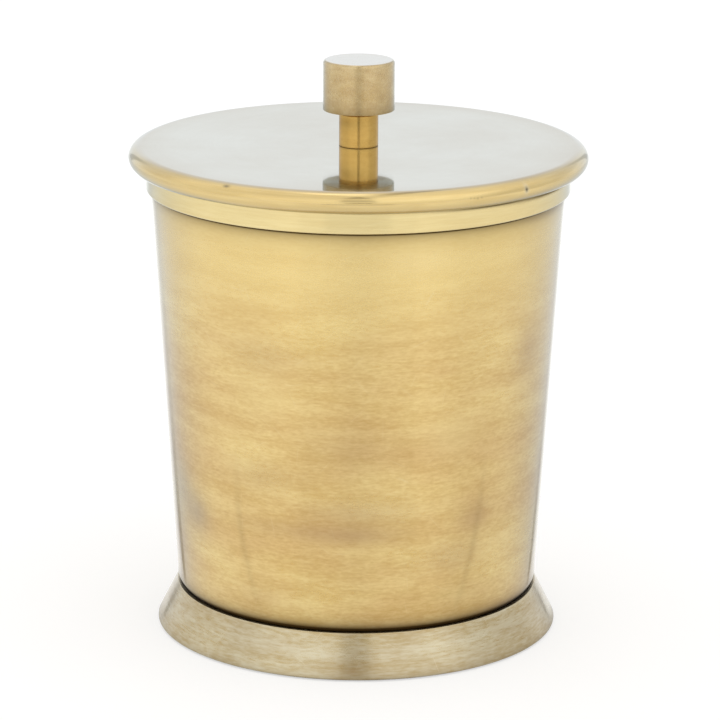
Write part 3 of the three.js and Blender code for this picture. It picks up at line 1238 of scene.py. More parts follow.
CUP_FINISH = BrassFinish(
    name="brushed_aged_brass",
    slot="cup_brass",
    clean=srgb(238, 210, 137),
    aged=srgb(204, 158, 94),
    bright=srgb(248, 234, 190),
    glance=(0.74, 0.84, 1.0, 1.0),
    roughness=0.27,
    brushing=0.97,
    lacquer=1.0,
    lacquer_roughness=0.04,
    lines=1900.0,
    streaks=14.0,
    grain=0.16,
    relief=0.06,
    patina=0.62,
    patina_scale=24.0,
    scratches=0.15,
    settling=Settling(full=76 * MM, thin=103 * MM, least=0.12),
    marks=(
        Mark(-1.5, 36.2, 12, 2.6, 0.45, SMUDGE),
        Mark(-20.0, 36.8, 14, 2.4, 0.22, SMUDGE),
        Mark(0.0, 42.0, 14, 3.6, 0.38, SMUDGE),
        Mark(-26.5, 80.6, 10, 5.0, 0.30, SMUDGE),
        Mark(-27.7, 49.7, 10, 4.0, 0.30, SMUDGE),
        Mark(29.5, 28.9, 9, 4.5, 0.35, SMUDGE),
        Mark(30.2, 18.3, 9, 4.0, 0.16, RUN),
        Mark(-29.0, 18.1, 9, 4.0, 0.22, SMUDGE),
        Mark(-65.8, 40.0, 5, 7.0, 0.35, HAZE),
        Mark(16.7, 105.5, 9, 3.5, 0.40, RUBBED),
        Mark(27.9, 60.5, 9, 5.0, 0.35, RUBBED),
        Mark(-26.8, 70.0, 9, 6.0, 0.25, RUBBED),
        Mark(-57.0, 35.5, 5, 5.0, 0.50, HAZE),
        Mark(37.9, 38.5, 5, 4.5, 0.40, SMUDGE),
        Mark(57.0, 77.5, 6, 6.0, 0.40, SMUDGE),
        # Painted shade under the rim ring on the right side, in the colour of the runs
        Mark(63.0, 111.8, 14, 1.3, 0.35, RUN),
        Mark(-3.4, 58.0, 12, 6.0, 0.22, SMUDGE),
        Mark(-36.6, 32.0, 1.1, 15, 0.22, RUN, lean=-0.16, bend=5.8),
        Mark(38.0, 32.0, 1.2, 16, 0.24, RUN, lean=0.19, bend=-4.6),
    ),
)
RIM_FINISH = BrassFinish(
    name="turned_satin_brass",
    slot="rim_brass",
    clean=srgb(237, 216, 155),
    aged=srgb(208, 178, 116),
    bright=srgb(247, 232, 184),
    glance=(0.74, 0.84, 1.0, 1.0),
    roughness=0.20,
    brushing=0.8,
    lacquer=0.6,
    lines=2200.0,
    streaks=4.0,
    grain=0.06,
    patina=0.2,
    scratches=0.2,
    seed=2.0,
    marks=(
        # Painted shadow of the gap under the lid on the right, on the rim's top edge, matt and without
        # lacquer
        Mark(42.0, 117.85, 15, 0.4, 1.0, PAINTED_GAP_SHADOW, inner=RIM_WALL, dull=1.0),
        Mark(66.0, 117.4, 15, 0.5, 0.9, PAINTED_GAP_SHADOW, inner=RIM_WALL, dull=1.0),
    ),
)
FOOT_FINISH = BrassFinish(
    name="greyed_turned_brass",
    slot="foot_brass",
    clean=srgb(203, 188, 151),
    aged=srgb(178, 157, 120),
    bright=srgb(234, 224, 194),
    glance=(0.90, 0.94, 1.0, 1.0),
    roughness=0.27,
    brushing=0.85,
    lacquer=0.45,
    lacquer_roughness=0.04,
    lines=1400.0,
    streaks=9.0,
    grain=0.24,
    patina=0.5,
    patina_scale=50.0,
    seed=4.0,
    marks=(
        Mark(-0.8, 2.3, 1.3, 0.7, 0.3, SMUDGE),
        Mark(-0.8, 3.0, 6.5, 4.5, 0.38, RUN),
    ),
)
LID_FINISH = BrassFinish(
    name="polished_pale_brass",
    slot="lid_brass",
    clean=srgb(228, 201, 134),
    aged=srgb(204, 170, 104),
    bright=srgb(248, 236, 200),
    glance=(0.70, 0.83, 1.0, 1.0),
    roughness=0.15,
    brushing=0.7,
    lacquer=1.0,
    lacquer_roughness=0.03,
    lacquer_ior=1.52,
    lines=1500.0,
    streaks=3.0,
    grain=0.08,
    patina=0.25,
    patina_scale=40.0,
    scratches=0.10,
    seed=6.0,
    level_polish_and_sheen=1.0,
    level_colour=srgb(237, 219, 180),
    level_patina=0.45,
    rim_patina=0.32,
    rim_from=47 * MM,
    rim_full=56 * MM,
    marks=(
        Mark(44.5, 121.5, 0.75, 1.1, 0.5, PIT_LIP, inner=EDGE),
        Mark(44.5, 121.4, 0.50, 0.6, 1.0, PIT, depth=8.0, inner=EDGE),
        Mark(-33.8, 123.1, 0.9, 0.25, 0.8, PIT, depth=4.0, inner=EDGE),
        Mark(30.6, 121.3, 0.30, 0.25, 0.5, FAINT, depth=2.0, inner=EDGE),
        Mark(29.5, 121.2, 0.35, 0.28, 0.6, FAINT, depth=2.0, inner=EDGE),
        Mark(28.6, 121.3, 0.25, 0.22, 0.5, FAINT, depth=2.0, inner=EDGE),
        Mark(27.6, 121.4, 0.25, 0.22, 0.5, FAINT, depth=2.0, inner=EDGE),
        # Painted shadow of the gap over the rim ring on the right, on the lid's lower edge, matt and
        # without lacquer
        Mark(60.0, 118.35, 32, 0.5, 1.0, PAINTED_GAP_SHADOW, inner=EDGE, dull=1.0),
    ),
)
STEM_FINISH = BrassFinish(
    name="polished_deep_brass",
    slot="stem_brass",
    clean=srgb(236, 194, 112),
    aged=srgb(196, 152, 74),
    bright=srgb(246, 222, 160),
    glance=(0.80, 0.84, 0.95, 1.0),
    roughness=0.16,
    brushing=0.5,
    lacquer=0.2,
    lines=3000.0,
    streaks=2.0,
    grain=0.05,
    patina=0.5,
    patina_scale=110.0,
    seed=8.0,
    marks=(
        Mark(-36.0, 129.6, 2.8, 1.7, 0.40, RUN),
        Mark(0.0, 130.6, 7, 2.2, 0.20, RUN),
    ),
)
KNOB_FINISH = BrassFinish(
    name="brushed_olive_brass",
    slot="knob_brass",
    clean=srgb(212, 189, 139),
    aged=srgb(184, 155, 108),
    bright=srgb(240, 226, 186),
    glance=(0.75, 0.87, 1.0, 1.0),
    roughness=0.25,
    brushing=0.93,
    lacquer=0.8,
    lacquer_roughness=0.05,
    lines=2000.0,
    streaks=16.0,
    grain=0.14,
    patina=0.5,
    patina_scale=240.0,
    wear=0.8,
    seed=9.0,
    level_polish_and_sheen=1.0,
    level_colour=srgb(246, 226, 199),
)
STEEL_FINISH = SteelFinish()
RUBBER_FINISH = RubberFinish()


@dataclass(frozen=True)
class Jar:
    """The tapered cup, and the ring round its mouth."""

    cup: Span
    rim: Span
    heel_radius: float = 45.6 * MM
    sheet: float = 1.0 * MM
    bend: float = 2.0 * MM
    cut_edge: float = 0.2 * MM
    rim_edge: float = 0.45 * MM
    rim_lip: float = 1.2 * MM
    # How far below the rim ring the painted shade and dark patina are darkest
    rim_shade: float = 0.3 * MM
    solder: float = 0.1 * MM

    @property
    def taper(self) -> float:
        """The wall's lean from upright."""
        return math.atan2(self.cup.radius - self.heel_radius, self.cup.height)

    def wall(self, height: float) -> float:
        """The wall's outer radius at a level."""
        return self.heel_radius + math.tan(self.taper) * (height - self.cup.bottom)

    def build(self, shop: Workshop) -> None:
        """Turns the cup and its rim ring, with dark patina and painted shade under the ring and above
        the foot.

        Args:
            shop: The workshop that turns and seats them.
        """
        under_rim = self.rim.bottom - self.rim_shade
        # Painted shade with some dark patina: a dark line just under the rim ring that fades down the
        # wall, and a long shade that darkens the heel towards the foot
        dark = (
            Joint(under_rim, 0.45 * MM, 1.25),
            Joint(under_rim, 1.7 * MM, 0.6),
            Joint(self.cup.bottom, 0.45 * MM, 0.9),
            Joint(self.cup.bottom, 1.5 * MM, 2.4),
        )
        shop.turn("cup", Body.JAR, self.cup_section(), Sides.WIDE, replace(CUP_FINISH, joints=dark))
        shop.turn("rim_ring", Body.JAR, self.rim_section(), Sides.WIDE, RIM_FINISH)

    def cup_section(self) -> Section:
        """Wall and floor of one sheet, with a bent heel.

        Returns:
            The cup's half section.
        """
        inset = self.sheet / math.cos(self.taper)
        floor = self.cup.bottom + self.sheet
        return Section((
            Corner(0.0, self.cup.bottom),
            Corner(self.heel_radius, self.cup.bottom, self.bend + self.sheet),
            Corner(self.cup.radius, self.cup.top, self.cut_edge),
            Corner(self.cup.radius - inset, self.cup.top, self.cut_edge),
            Corner(self.wall(floor) - inset, floor, self.bend),
            Corner(0.0, floor),
        ), ring=False)

    def rim_section(self) -> Section:
        """A band with a lip that covers the edge of the sheet.

        Returns:
            The rim ring's half section.
        """
        lip = self.rim.top - self.rim_lip + self.solder
        return Section((
            Corner(self.wall(self.rim.bottom) + self.solder, self.rim.bottom),
            Corner(self.rim.radius, self.rim.bottom, self.rim_edge),
            Corner(self.rim.radius, self.rim.top, self.rim_edge),
            Corner(self.rim.bore, self.rim.top, self.rim_edge),
            Corner(self.rim.bore, lip),
            Corner(self.wall(lip) + self.solder, lip),
        ))


@dataclass(frozen=True)
class Foot:
    """The flared foot, what holds it to the cup, and its rubber ring."""

    ring: Span
    rubber: Span
    stud: Span
    washer: Span
    top_radius: float = 46.05 * MM
    flare: float = 5.05 * MM
    skirt: float = 4.0 * MM
    web: float = 2.0 * MM
    lip: float = 0.45 * MM
    lip_radius: float = 44.9 * MM
    top_edge: float = 0.2 * MM
    low_edge: float = 0.35 * MM
    inner_fillet: float = 1.0 * MM
    groove_depth: float = 1.0 * MM
    glue: float = 0.1 * MM
    bore_edge: float = 0.2 * MM
    inner_edge: float = 0.3 * MM
    lip_edge: float = 0.1 * MM
    rubber_edge: float = 0.25 * MM
    washer_edge: float = 0.2 * MM
    stud_radius: float = 2.5 * MM
    stud_flange: float = 0.8 * MM
    stud_end: float = 0.1 * MM
    flange_edge: float = 0.15 * MM
    thread_pitch: float = 0.8 * MM
    thread_depth: float = 0.4 * MM
    thread_edge: float = 0.05 * MM

    @property
    def lean(self) -> float:
        """How much the skirt widens for each unit of depth."""
        return self.flare / self.ring.height

    def skirt_radius(self, height: float) -> float:
        """The skirt's outer radius at a level."""
        return self.top_radius + self.lean * (self.ring.top - height)

    def build(self, shop: Workshop) -> None:
        """Turns the foot and its fasteners, and dresses the nut.

        Args:
            shop: The workshop that turns and seats them.
        """
        # Painted shade along the foot's lower edge, next to the floor
        finish = replace(FOOT_FINISH, joints=(Joint(self.ring.bottom, 0.9 * MM, 0.4),))
        shop.turn("foot_ring", Body.JAR, self.ring_section(), Sides.WIDE, finish)
        grip = self.rubber.flat_ring(self.rubber_edge)
        shop.turn("foot_rubber", Body.JAR, grip, Sides.WIDE, RUBBER_FINISH)
        shop.turn("foot_stud", Body.JAR, self.stud_section(), Sides.FASTENER, STEEL_FINISH)
        washer = self.washer.flat_ring(self.washer_edge)
        shop.turn("foot_washer", Body.JAR, washer, Sides.FASTENER, STEEL_FINISH)
        shop.dress("foot_nut", STEEL_FINISH)

    def ring_section(self) -> Section:
        """Skirt and web, with a low lip round the cup's heel and a groove for the rubber.

        Returns:
            The foot's half section.
        """
        ring, web = self.ring, self.ring.top - self.web
        lip = ring.top + self.lip
        groove_in, groove_out = self.rubber.bore - self.glue, self.rubber.radius + self.glue
        groove_top = ring.bottom + self.groove_depth
        return Section((
            Corner(ring.bore, web, self.bore_edge),
            Corner(self.skirt_radius(web) - self.skirt, web, self.inner_fillet),
            Corner(self.skirt_radius(ring.bottom) - self.skirt, ring.bottom, self.inner_edge),
            Corner(groove_in, ring.bottom),
            Corner(groove_in, groove_top),
            Corner(groove_out, groove_top),
            Corner(groove_out, ring.bottom),
            Corner(self.skirt_radius(ring.bottom), ring.bottom, self.low_edge),
            Corner(self.skirt_radius(lip), lip, self.top_edge),
            Corner(self.lip_radius, lip, self.lip_edge),
            Corner(self.lip_radius, ring.top),
            Corner(ring.bore, ring.top, self.bore_edge),
        ))

    def stud_section(self) -> Section:
        """A short stud with a flange under the floor, and turns of thread towards its end.

        Returns:
            The stud's half section.
        """
        stud, radius, edge = self.stud, self.stud_radius, self.thread_edge
        flange = stud.top - self.stud_flange
        pitch, root = self.thread_pitch, radius - self.thread_depth
        corners = [Corner(0.0, stud.bottom), Corner(root, stud.bottom, self.stud_end)]
        level = stud.bottom + pitch / 2
        while level + pitch < flange:
            corners += [Corner(radius, level, edge), Corner(root, level + pitch / 2, edge)]
            level += pitch
        corners += [
            Corner(radius, flange),
            Corner(stud.radius, flange, self.flange_edge),
            Corner(stud.radius, stud.top),
            Corner(0.0, stud.top),
        ]
        return Section(tuple(corners), ring=False)


@dataclass(frozen=True)
class Lid:
    """The round-edged lid and the band under it."""

    plate: Span
    band: Span
    web: float = 2.6 * MM
    solder: float = 0.1 * MM
    fillet: float = 0.3 * MM
    band_edge: float = 0.4 * MM
    hollow: float = 0.25 * MM
    hollow_turn: float = 27 * MM
    shoulder_depth: float = 3.4 * MM
    shoulder_steps: int = 15

    def build(self, shop: Workshop) -> None:
        """Turns the plate and the locating ring.

        Args:
            shop: The workshop that turns and seats them.
        """
        # Dark patina and painted shade along the lid's lower edge, over the rim ring, where the
        # lacquer's sheen is also taken away
        finish = replace(LID_FINISH, joints=(Joint(self.plate.bottom, 0.7 * MM, 0.35),))
        shop.turn("lid_plate", Body.LID, self.plate_section(), Sides.WIDE, finish)
        shop.turn("lid_locating_ring", Body.LID, self.band_section(), Sides.WIDE, RIM_FINISH)

    def plate_section(self) -> Section:
        """A plate with a full bullnose edge, recessed below and very slightly hollow on top.

        Returns:
            The lid's half section.
        """
        plate, nose = self.plate, self.plate.height / 2
        middle = plate.top - self.hollow
        fall = plate.radius - self.shoulder_depth - self.hollow_turn
        sweep = 2 * (self.hollow_turn - nose) * fall / self.hollow
        ceiling = plate.top - self.web
        recess = self.band.radius + self.solder
        return Section((
            Corner(plate.bore, ceiling),
            Corner(recess, ceiling),
            Corner(recess, plate.bottom, self.fillet),
            Corner(plate.radius, plate.bottom, nose),
            *self.shoulder(),
            Corner(self.hollow_turn, middle, sweep),
            Corner(plate.bore, middle),
        ))

    def shoulder(self) -> list[Corner]:
        """The upper half of the edge, a quarter of an ellipse that is deeper than it is high.

        Returns:
            Its corners, from the widest point to the top.
        """
        plate, high = self.plate, self.plate.height / 2
        turns = [math.pi / 2 * step / self.shoulder_steps for step in range(self.shoulder_steps + 1)]
        return [
            Corner(
                plate.radius - self.shoulder_depth * (1 - math.cos(turn)),
                plate.bottom + high * (1 + math.sin(turn)),
            )
            for turn in turns
        ]

    def band_section(self) -> Section:
        """A plain band with rounded lower edges.

        Returns:
            The locating ring's half section.
        """
        band = self.band
        return Section((
            Corner(band.bore, band.bottom, self.band_edge),
            Corner(band.radius, band.bottom, self.band_edge),
            Corner(band.radius, band.top),
            Corner(band.bore, band.top),
        ))


@dataclass(frozen=True)
class Knob:
    """The knob's head and stem, with the screw and washer that hold them."""

    head: Span
    stem: Span
    screw: Span
    washer: Span
    head_edge: float = 0.2 * MM
    crown_edge: float = 0.9 * MM
    stem_edge: float = 0.15 * MM
    stem_seat: float = 0.25 * MM
    neck_height: float = 0.9 * MM
    neck_groove: float = 0.12 * MM
    hole_radius: float = 2.1 * MM
    hole_depth: float = 8.5 * MM
    screw_radius: float = 2.0 * MM
    screw_head: float = 2.4 * MM
    crown: float = 1.0 * MM
    # The flat of the crown as a share of the screw head's radius, and the bends round it
    crown_flat: float = 0.7
    crown_bend: float = 2.0 * MM
    crown_side: float = 0.6 * MM
    screw_edge: float = 0.1 * MM
    screw_tip: float = 0.3 * MM
    washer_edge: float = 0.15 * MM

    @property
    def neck(self) -> float:
        """The level of the fine line round the stem, just under the head."""
        return self.stem.top - self.neck_height

    def build(self, shop: Workshop) -> None:
        """Turns the four pieces.

        Args:
            shop: The workshop that turns and seats them.
        """
        # Painted shade with some dark patina where the stem sits in the lid, and a painted shadow line
        # in the neck groove
        dark = (
            Joint(self.stem.bottom - self.stem_seat, 0.2 * MM, 0.85),
            Joint(self.neck, 0.1 * MM, 0.25),
        )
        # Painted shade over the lower part of the head, darkest at its underside over the stem
        under = (Joint(self.head.bottom, 2.0 * MM, 0.38),)
        stem, head = replace(STEM_FINISH, joints=dark), replace(KNOB_FINISH, joints=under)
        shop.turn("knob_stem", Body.LID, self.stem_section(), Sides.KNOB, stem)
        shop.turn("knob_head", Body.LID, self.head_section(), Sides.KNOB, head)
        shop.turn("knob_screw", Body.LID, self.screw_section(), Sides.FASTENER, STEEL_FINISH)
        washer = self.washer.flat_ring(self.washer_edge)
        shop.turn("knob_washer", Body.LID, washer, Sides.FASTENER, STEEL_FINISH)

    def stem_section(self) -> Section:
        """A tube with an eased foot in the lid's hollow, and a fine groove near its top.

        Returns:
            The stem's half section.
        """
        stem, groove = self.stem, self.neck_groove
        foot = stem.bottom - self.stem_seat
        return Section((
            Corner(stem.bore, foot),
            Corner(stem.radius, foot, self.stem_edge),
            Corner(stem.radius, self.neck - groove),
            Corner(stem.radius - groove, self.neck),
            Corner(stem.radius, self.neck + groove),
            Corner(stem.radius, stem.top),
            Corner(stem.bore, stem.top),
        ))

    def head_section(self) -> Section:
        """A cylinder with eased edges and a blind hole below.

        Returns:
            The knob head's half section.
        """
        head = self.head
        hole_end = head.bottom + self.hole_depth
        return Section((
            Corner(0.0, hole_end),
            Corner(self.hole_radius, hole_end),
            Corner(self.hole_radius, head.bottom),
            Corner(head.radius, head.bottom, self.head_edge),
            Corner(head.radius, head.top, self.crown_edge),
            Corner(0.0, head.top),
        ), ring=False)

    def screw_section(self) -> Section:
        """A pan head with a low crown, and a plain shank.

        Returns:
            The screw's half section.
        """
        screw = self.screw
        head_top = screw.bottom + self.screw_head
        return Section((
            Corner(0.0, screw.bottom),
            Corner(screw.radius * self.crown_flat, screw.bottom, self.crown_bend),
            Corner(screw.radius, screw.bottom + self.crown, self.crown_side),
            Corner(screw.radius, head_top, self.screw_edge),
            Corner(self.screw_radius, head_top),
            Corner(self.screw_radius, screw.top, self.screw_tip),
            Corner(0.0, screw.top),
        ), ring=False)


@dataclass(frozen=True)
class Gap:
    """A darker upright gap in the room's front: half its width, its soft ends, and its depth by height.

    Heights are places along the arch, from the front over the top to the back, as shares of half a turn.
    """

    half: float
    soft: float
    depth: Stops


@dataclass(frozen=True)
class ShadowStreak:
    """A painted shadow of the box on the floor, seen only in its reflections, which runs back and
    outwards from beside it.

    It darkens and lightens again between slants out from its root, and its depth goes by the
    distance behind the box, as a share of the streaks' length.
    """

    side: float
    inner: Pair
    outer: Pair
    depth: Stops


@dataclass(frozen=True)
class Studio:
    """A white room of soft light, with a pale floor.

    Upright gaps stand in the wall in front of the box and two slits in the wall behind it. A painted
    shadow of the box runs on the floor up to each slit, and floor and walls are a little dimmer at the
    sides.
    The box mirrors all of it.
    """

    floor_half: float = 4.0
    floor_level: float = -0.0001
    floor_grey: float = 0.50
    fill_up: float = 0.56
    front_dim: float = 0.05
    front_half: float = math.radians(30.0)
    front_soft: float = 0.04
    # Painted shade: the floor is darker in the box's reflections close to the box
    near_dim: float = 0.08
    near_from: float = 150 * MM
    near_to: float = 320 * MM
    far_dim: float = 0.36
    far_half: float = math.radians(17.0)
    far_soft: float = math.radians(3.0)
    far_from: float = 640 * MM
    far_to: float = 690 * MM
    side_dim: float = 0.12
    side_from: float = math.radians(80.0)
    side_to: float = math.radians(125.0)
    left_level: float = 0.95
    right_level: float = 0.80
    # From the middle of the room out to its side walls, and from the left half to the right half
    wall_from: Pair = (0.7, 0.97)
    middle: Pair = (-0.1, 0.1)
    # Side, and how much dimmer the floor is there close to the box and away from it
    flanks: tuple[tuple[float, float, float], ...] = ((1.0, 0.08, 0.05), (-1.0, 0.0, 0.06))
    flank_away: Pair = (350 * MM, 480 * MM)
    flank_begin: Pair = (math.radians(30.0), math.radians(60.0))
    flank_end: Pair = (math.radians(150.0), math.radians(170.0))
    # Bearings of the two slits, left and right, with their half widths
    slits: tuple[Pair, ...] = (
        (math.radians(-155.5), math.radians(4.0)), (math.radians(159.5), math.radians(3.0)),
    )
    slit_soft: float = math.radians(1.0)
    slit_wall: float = 0.35
    slit_top: float = 0.5
    # Painted shadows of the box on the floor, seen only in its reflections, running back to the slits
    shadow_streaks: tuple[ShadowStreak, ...] = (
        ShadowStreak(-1.0, (0.38, 0.45), (0.55, 0.67), (
            (0.0, 0.0), (0.017, 0.0), (0.033, 0.62), (0.047, 0.70), (0.075, 0.52), (0.12, 0.42),
            (0.165, 0.32), (0.26, 0.17), (0.38, 0.15), (0.50, 0.08), (1.0, 0.03),
        )),
        ShadowStreak(1.0, (0.35, 0.41), (0.49, 0.57), (
            (0.0, 0.0), (0.017, 0.0), (0.033, 0.5), (0.047, 0.60), (0.075, 0.40), (0.12, 0.30),
            (0.165, 0.18), (0.26, 0.05), (0.38, 0.02), (1.0, 0.0),
        )),
    )
    streak_root: float = 56 * MM
    streak_end: float = 600 * MM
    streak_least_depth: float = 1 * MM
    # The lane straight behind the box, between its painted shadows, where the other dimming is taken
    # away and the floor is painted lighter in the box's reflections
    lane: Pair = (0.20, 0.40)
    lane_from: Pair = (0 * MM, 15 * MM)
    lane_lift: float = 0.12
    # Along the arch from the front, overhead and down to the back, as shares of half a turn
    arch_left: Stops = (
        (0.0, 1.1), (0.14, 1.1), (0.20, 1.15), (0.26, 1.1), (0.34, 1.02), (0.40, 0.95), (0.44, 0.94),
        (0.49, 0.99), (0.55, 1.0), (0.60, 1.03), (0.64, 1.08), (0.69, 1.0), (0.75, 0.88), (0.80, 0.85),
        (0.87, 0.88), (0.915, 0.99), (1.0, 1.0),
    )
    arch_right: Stops = (
        (0.0, 0.98), (0.08, 1.0), (0.13, 1.08), (0.20, 1.16), (0.28, 1.19), (0.36, 1.22), (0.46, 1.17),
        (0.53, 1.02), (0.63, 1.0), (0.69, 0.95), (0.76, 0.85), (0.82, 0.81), (0.87, 0.84), (0.915, 0.99),
        (1.0, 1.0),
    )
    # Between the lamps on the left and those on the right
    roof_left: Pair = (0.045, 0.075)
    roof_right: Pair = (0.11, 0.145)
    roof_depth: Stops = (
        (0.0, 0.0), (0.42, 0.0), (0.50, 0.16), (0.58, 0.24), (0.62, 0.42), (0.74, 0.42), (0.82, 0.0),
        (1.0, 0.0),
    )
    lamp_left: Pair = (-0.20, -0.10)
    lamp_right: Pair = (0.0, 0.055)
    lamp_level: Stops = (
        (0.0, 0.0), (0.57, 0.0), (0.60, 0.6), (0.645, 0.6), (0.675, 0.0), (1.0, 0.0),
    )
    gaps: tuple[Gap, ...] = (
        Gap(math.radians(9.5), math.radians(0.8), (
            (0.0, 0.0), (0.05, 0.06), (0.10, 0.08), (0.13, 0.12), (0.17, 0.38), (0.24, 0.43),
            (0.29, 0.17), (0.34, 0.10), (0.38, 0.0), (1.0, 0.0),
        )),
        Gap(math.radians(12.5), math.radians(5.0), (
            (0.0, 0.0), (0.34, 0.0), (0.42, 0.60), (0.47, 0.60), (0.52, 0.34), (0.57, 0.0), (1.0, 0.0),
        )),
        Gap(math.radians(7.0), math.radians(0.8), (
            (0.0, 0.0), (0.052, 0.0), (0.060, 0.8), (0.084, 0.8), (0.092, 0.0), (1.0, 0.0),
        )),
    )

    def build(self) -> None:
        """Sets the view, the world and the floor."""
        bpy.context.scene.view_settings.view_transform = "Standard"
        self._world()
        self._floor()

    def _world(self) -> None:
        """White all round, with lamps overhead, darker gaps in front and slits behind."""
        world = bpy.data.worlds.new("white_room")
        bpy.context.scene.world = world
        world.use_nodes = True
        world.node_tree.nodes.clear()
        graph = Graph(world.node_tree)
        parts = graph.add("ShaderNodeSeparateXYZ")
        graph.feed(parts.inputs[0], graph.add("ShaderNodeTexCoord").outputs["Generated"])
        x, y, z = parts.outputs
        front = graph.times(y, -1.0)
        over = graph.ratio(graph.math("ARCTAN2", graph.most(z, 0.0), front), math.pi)
        aside = graph.spread(graph.math("ABSOLUTE", x), *self.wall_from, 0.0, 1.0)
        arch = self._arch(graph, over, x)
        side = graph.spread(x, *self.middle, self.left_level, self.right_level)
        side = graph.times(graph.minus(side, arch), aside)
        signed = graph.math("ARCTAN2", x, front)
        bearing = graph.math("ABSOLUTE", signed)
        low = graph.spread(z, self.slit_top / 2, self.slit_top, self.slit_wall, 0.0)
        dim = graph.times(self._slits(graph, signed), low)
        for gap in self.gaps:
            inside = self._within(graph, bearing, gap.half, gap.soft)
            dark = graph.times(inside, graph.ramp(over, gap.depth))
            dim = graph.most(dim, dark)
        level = graph.times(graph.plus(arch, side), graph.rest(dim))
        seen = graph.add("ShaderNodeLightPath").outputs["Is Camera Ray"]
        plain = graph.times(graph.rest(level), seen)
        light = graph.add("ShaderNodeBackground")
        light.inputs["Color"].default_value = (1.0, 1.0, 1.0, 1.0)
        graph.feed(light.inputs["Strength"], graph.plus(level, plain))
        graph.feed(graph.add("ShaderNodeOutputWorld").inputs["Surface"], light.outputs[0])

    def _arch(self, graph: Graph, over: Socket, x: Socket) -> Socket:
        """The lamps' level from front to back, in a row on each side with a gap between.

        Args:
            graph: The world's graph.
            over: The place along the arch, as a share of half a turn.
            x: How far to the right a direction points.

        Returns:
            The level's socket.
        """
        left, right = graph.ramp(over, self.arch_left), graph.ramp(over, self.arch_right)
        share = graph.spread(x, self.roof_left[0], self.roof_right[1], 0.0, 1.0)
        across = graph.times(graph.minus(right, left), share)
        dark = graph.band(x, self.roof_left, self.roof_right)
        dark = graph.times(dark, graph.ramp(over, self.roof_depth))
        lamp = graph.band(x, self.lamp_left, self.lamp_right)
        lamp = graph.times(lamp, graph.ramp(over, self.lamp_level))
        level = graph.plus(graph.plus(left, across), lamp)
        return graph.times(level, graph.rest(dark))

    @staticmethod
    def _within(graph: Graph, angle: Socket, half: float, soft: float) -> Socket:
        """One inside an angle on both sides of nought, with a soft end."""
        return graph.spread(angle, half - soft, half + soft, 1.0, 0.0)

    def _slits(self, graph: Graph, bearing: Socket) -> Socket:
        """The two slits at the edges of the sheet behind.

        Args:
            graph: The world's graph.
            bearing: The angle of a direction to the right of the front.

        Returns:
            One inside the slits.
        """
        both = 0.0
        for middle, half in self.slits:
            away = graph.math("ABSOLUTE", graph.minus(bearing, middle))
            both = graph.most(both, self._within(graph, away, half, self.slit_soft))
        return both

    def _floor(self) -> None:
        """A pale sheet that keeps the box's shadow."""
        half = self.floor_half
        mesh = bpy.data.meshes.new("floor")
        mesh.from_pydata(
            [(x * half, y * half, self.floor_level) for x, y in ((-1, -1), (1, -1), (1, 1), (-1, 1))],
            [],
            [(0, 1, 2, 3)],
        )
        floor = bpy.data.objects.new("floor", mesh)
        bpy.context.scene.collection.objects.link(floor)
        made = bpy.data.materials.new("pale_floor")
        made.use_nodes = True
        made.node_tree.nodes.clear()
        graph = Graph(made.node_tree)
        path = graph.add("ShaderNodeLightPath")
        glossy, through = path.outputs["Is Glossy Ray"], path.outputs["Is Transmission Ray"]
        mirrored = graph.plus(glossy, through, clamp=True)
        seen = graph.plus(path.outputs["Is Camera Ray"], mirrored, clamp=True)
        shade = graph.rest(graph.times(self._floor_dim(graph), mirrored))
        matt = graph.add("ShaderNodeBsdfDiffuse")
        graph.feed(matt.inputs["Color"], graph.times(shade, self.floor_grey))
        glow = graph.add("ShaderNodeEmission")
        lift = graph.times(shade, self.fill_up)
        graph.feed(glow.inputs["Strength"], graph.times(seen, lift))
        both = graph.add("ShaderNodeAddShader")
        graph.feed(both.inputs[0], matt.outputs[0])
        graph.feed(both.inputs[1], glow.outputs[0])
        graph.feed(graph.add("ShaderNodeOutputMaterial").inputs["Surface"], both.outputs[0])
        mesh.materials.append(made)

    def _floor_dim(self, graph: Graph) -> Socket:
        """How much dimmer each part of the floor is in the box's reflections.

        Args:
            graph: The floor's graph.

        Returns:
            The share of light that is lost.
        """
        parts = graph.add("ShaderNodeSeparateXYZ")
        graph.feed(parts.inputs[0], graph.add("ShaderNodeTexCoord").outputs["Object"])
        x, y = parts.outputs["X"], parts.outputs["Y"]
        signed = graph.math("ARCTAN2", x, graph.times(y, -1.0))
        bearing = graph.math("ABSOLUTE", signed)
        away = graph.plus(graph.times(x, x), graph.times(y, y))
        away = graph.math("SQRT", away)
        ahead = self._within(graph, bearing, self.front_half, self.front_soft)
        front = graph.times(ahead, self.front_dim)
        far = graph.spread(away, self.far_from, self.far_to, 0.0, self.far_dim)
        far = graph.times(self._within(graph, bearing, self.far_half, self.far_soft), far)
        near = graph.spread(away, self.near_from, self.near_to, self.near_dim, 0.0)
        side = graph.spread(bearing, self.side_from, self.side_to, 0.0, self.side_dim)
        dim = graph.plus(graph.most(front, far), graph.plus(near, side))
        for turned, close, distant in self.flanks:
            flank = graph.band(graph.times(signed, turned), self.flank_begin, self.flank_end)
            level = graph.spread(away, *self.flank_away, close, distant)
            dim = graph.plus(dim, graph.times(flank, level))
        lane = self._lane(graph, x, y)
        dim = graph.times(dim, graph.rest(lane))
        dim = graph.minus(dim, graph.times(lane, self.lane_lift))
        return graph.plus(dim, self._shadow_streaks(graph, x, y))

    def _slant(self, graph: Graph, beside: Socket, y: Socket) -> Socket:
        """How far a place lies out from the root of the painted shadows, for each unit of its depth."""
        out = graph.minus(beside, self.streak_root)
        return graph.ratio(out, graph.most(y, self.streak_least_depth))

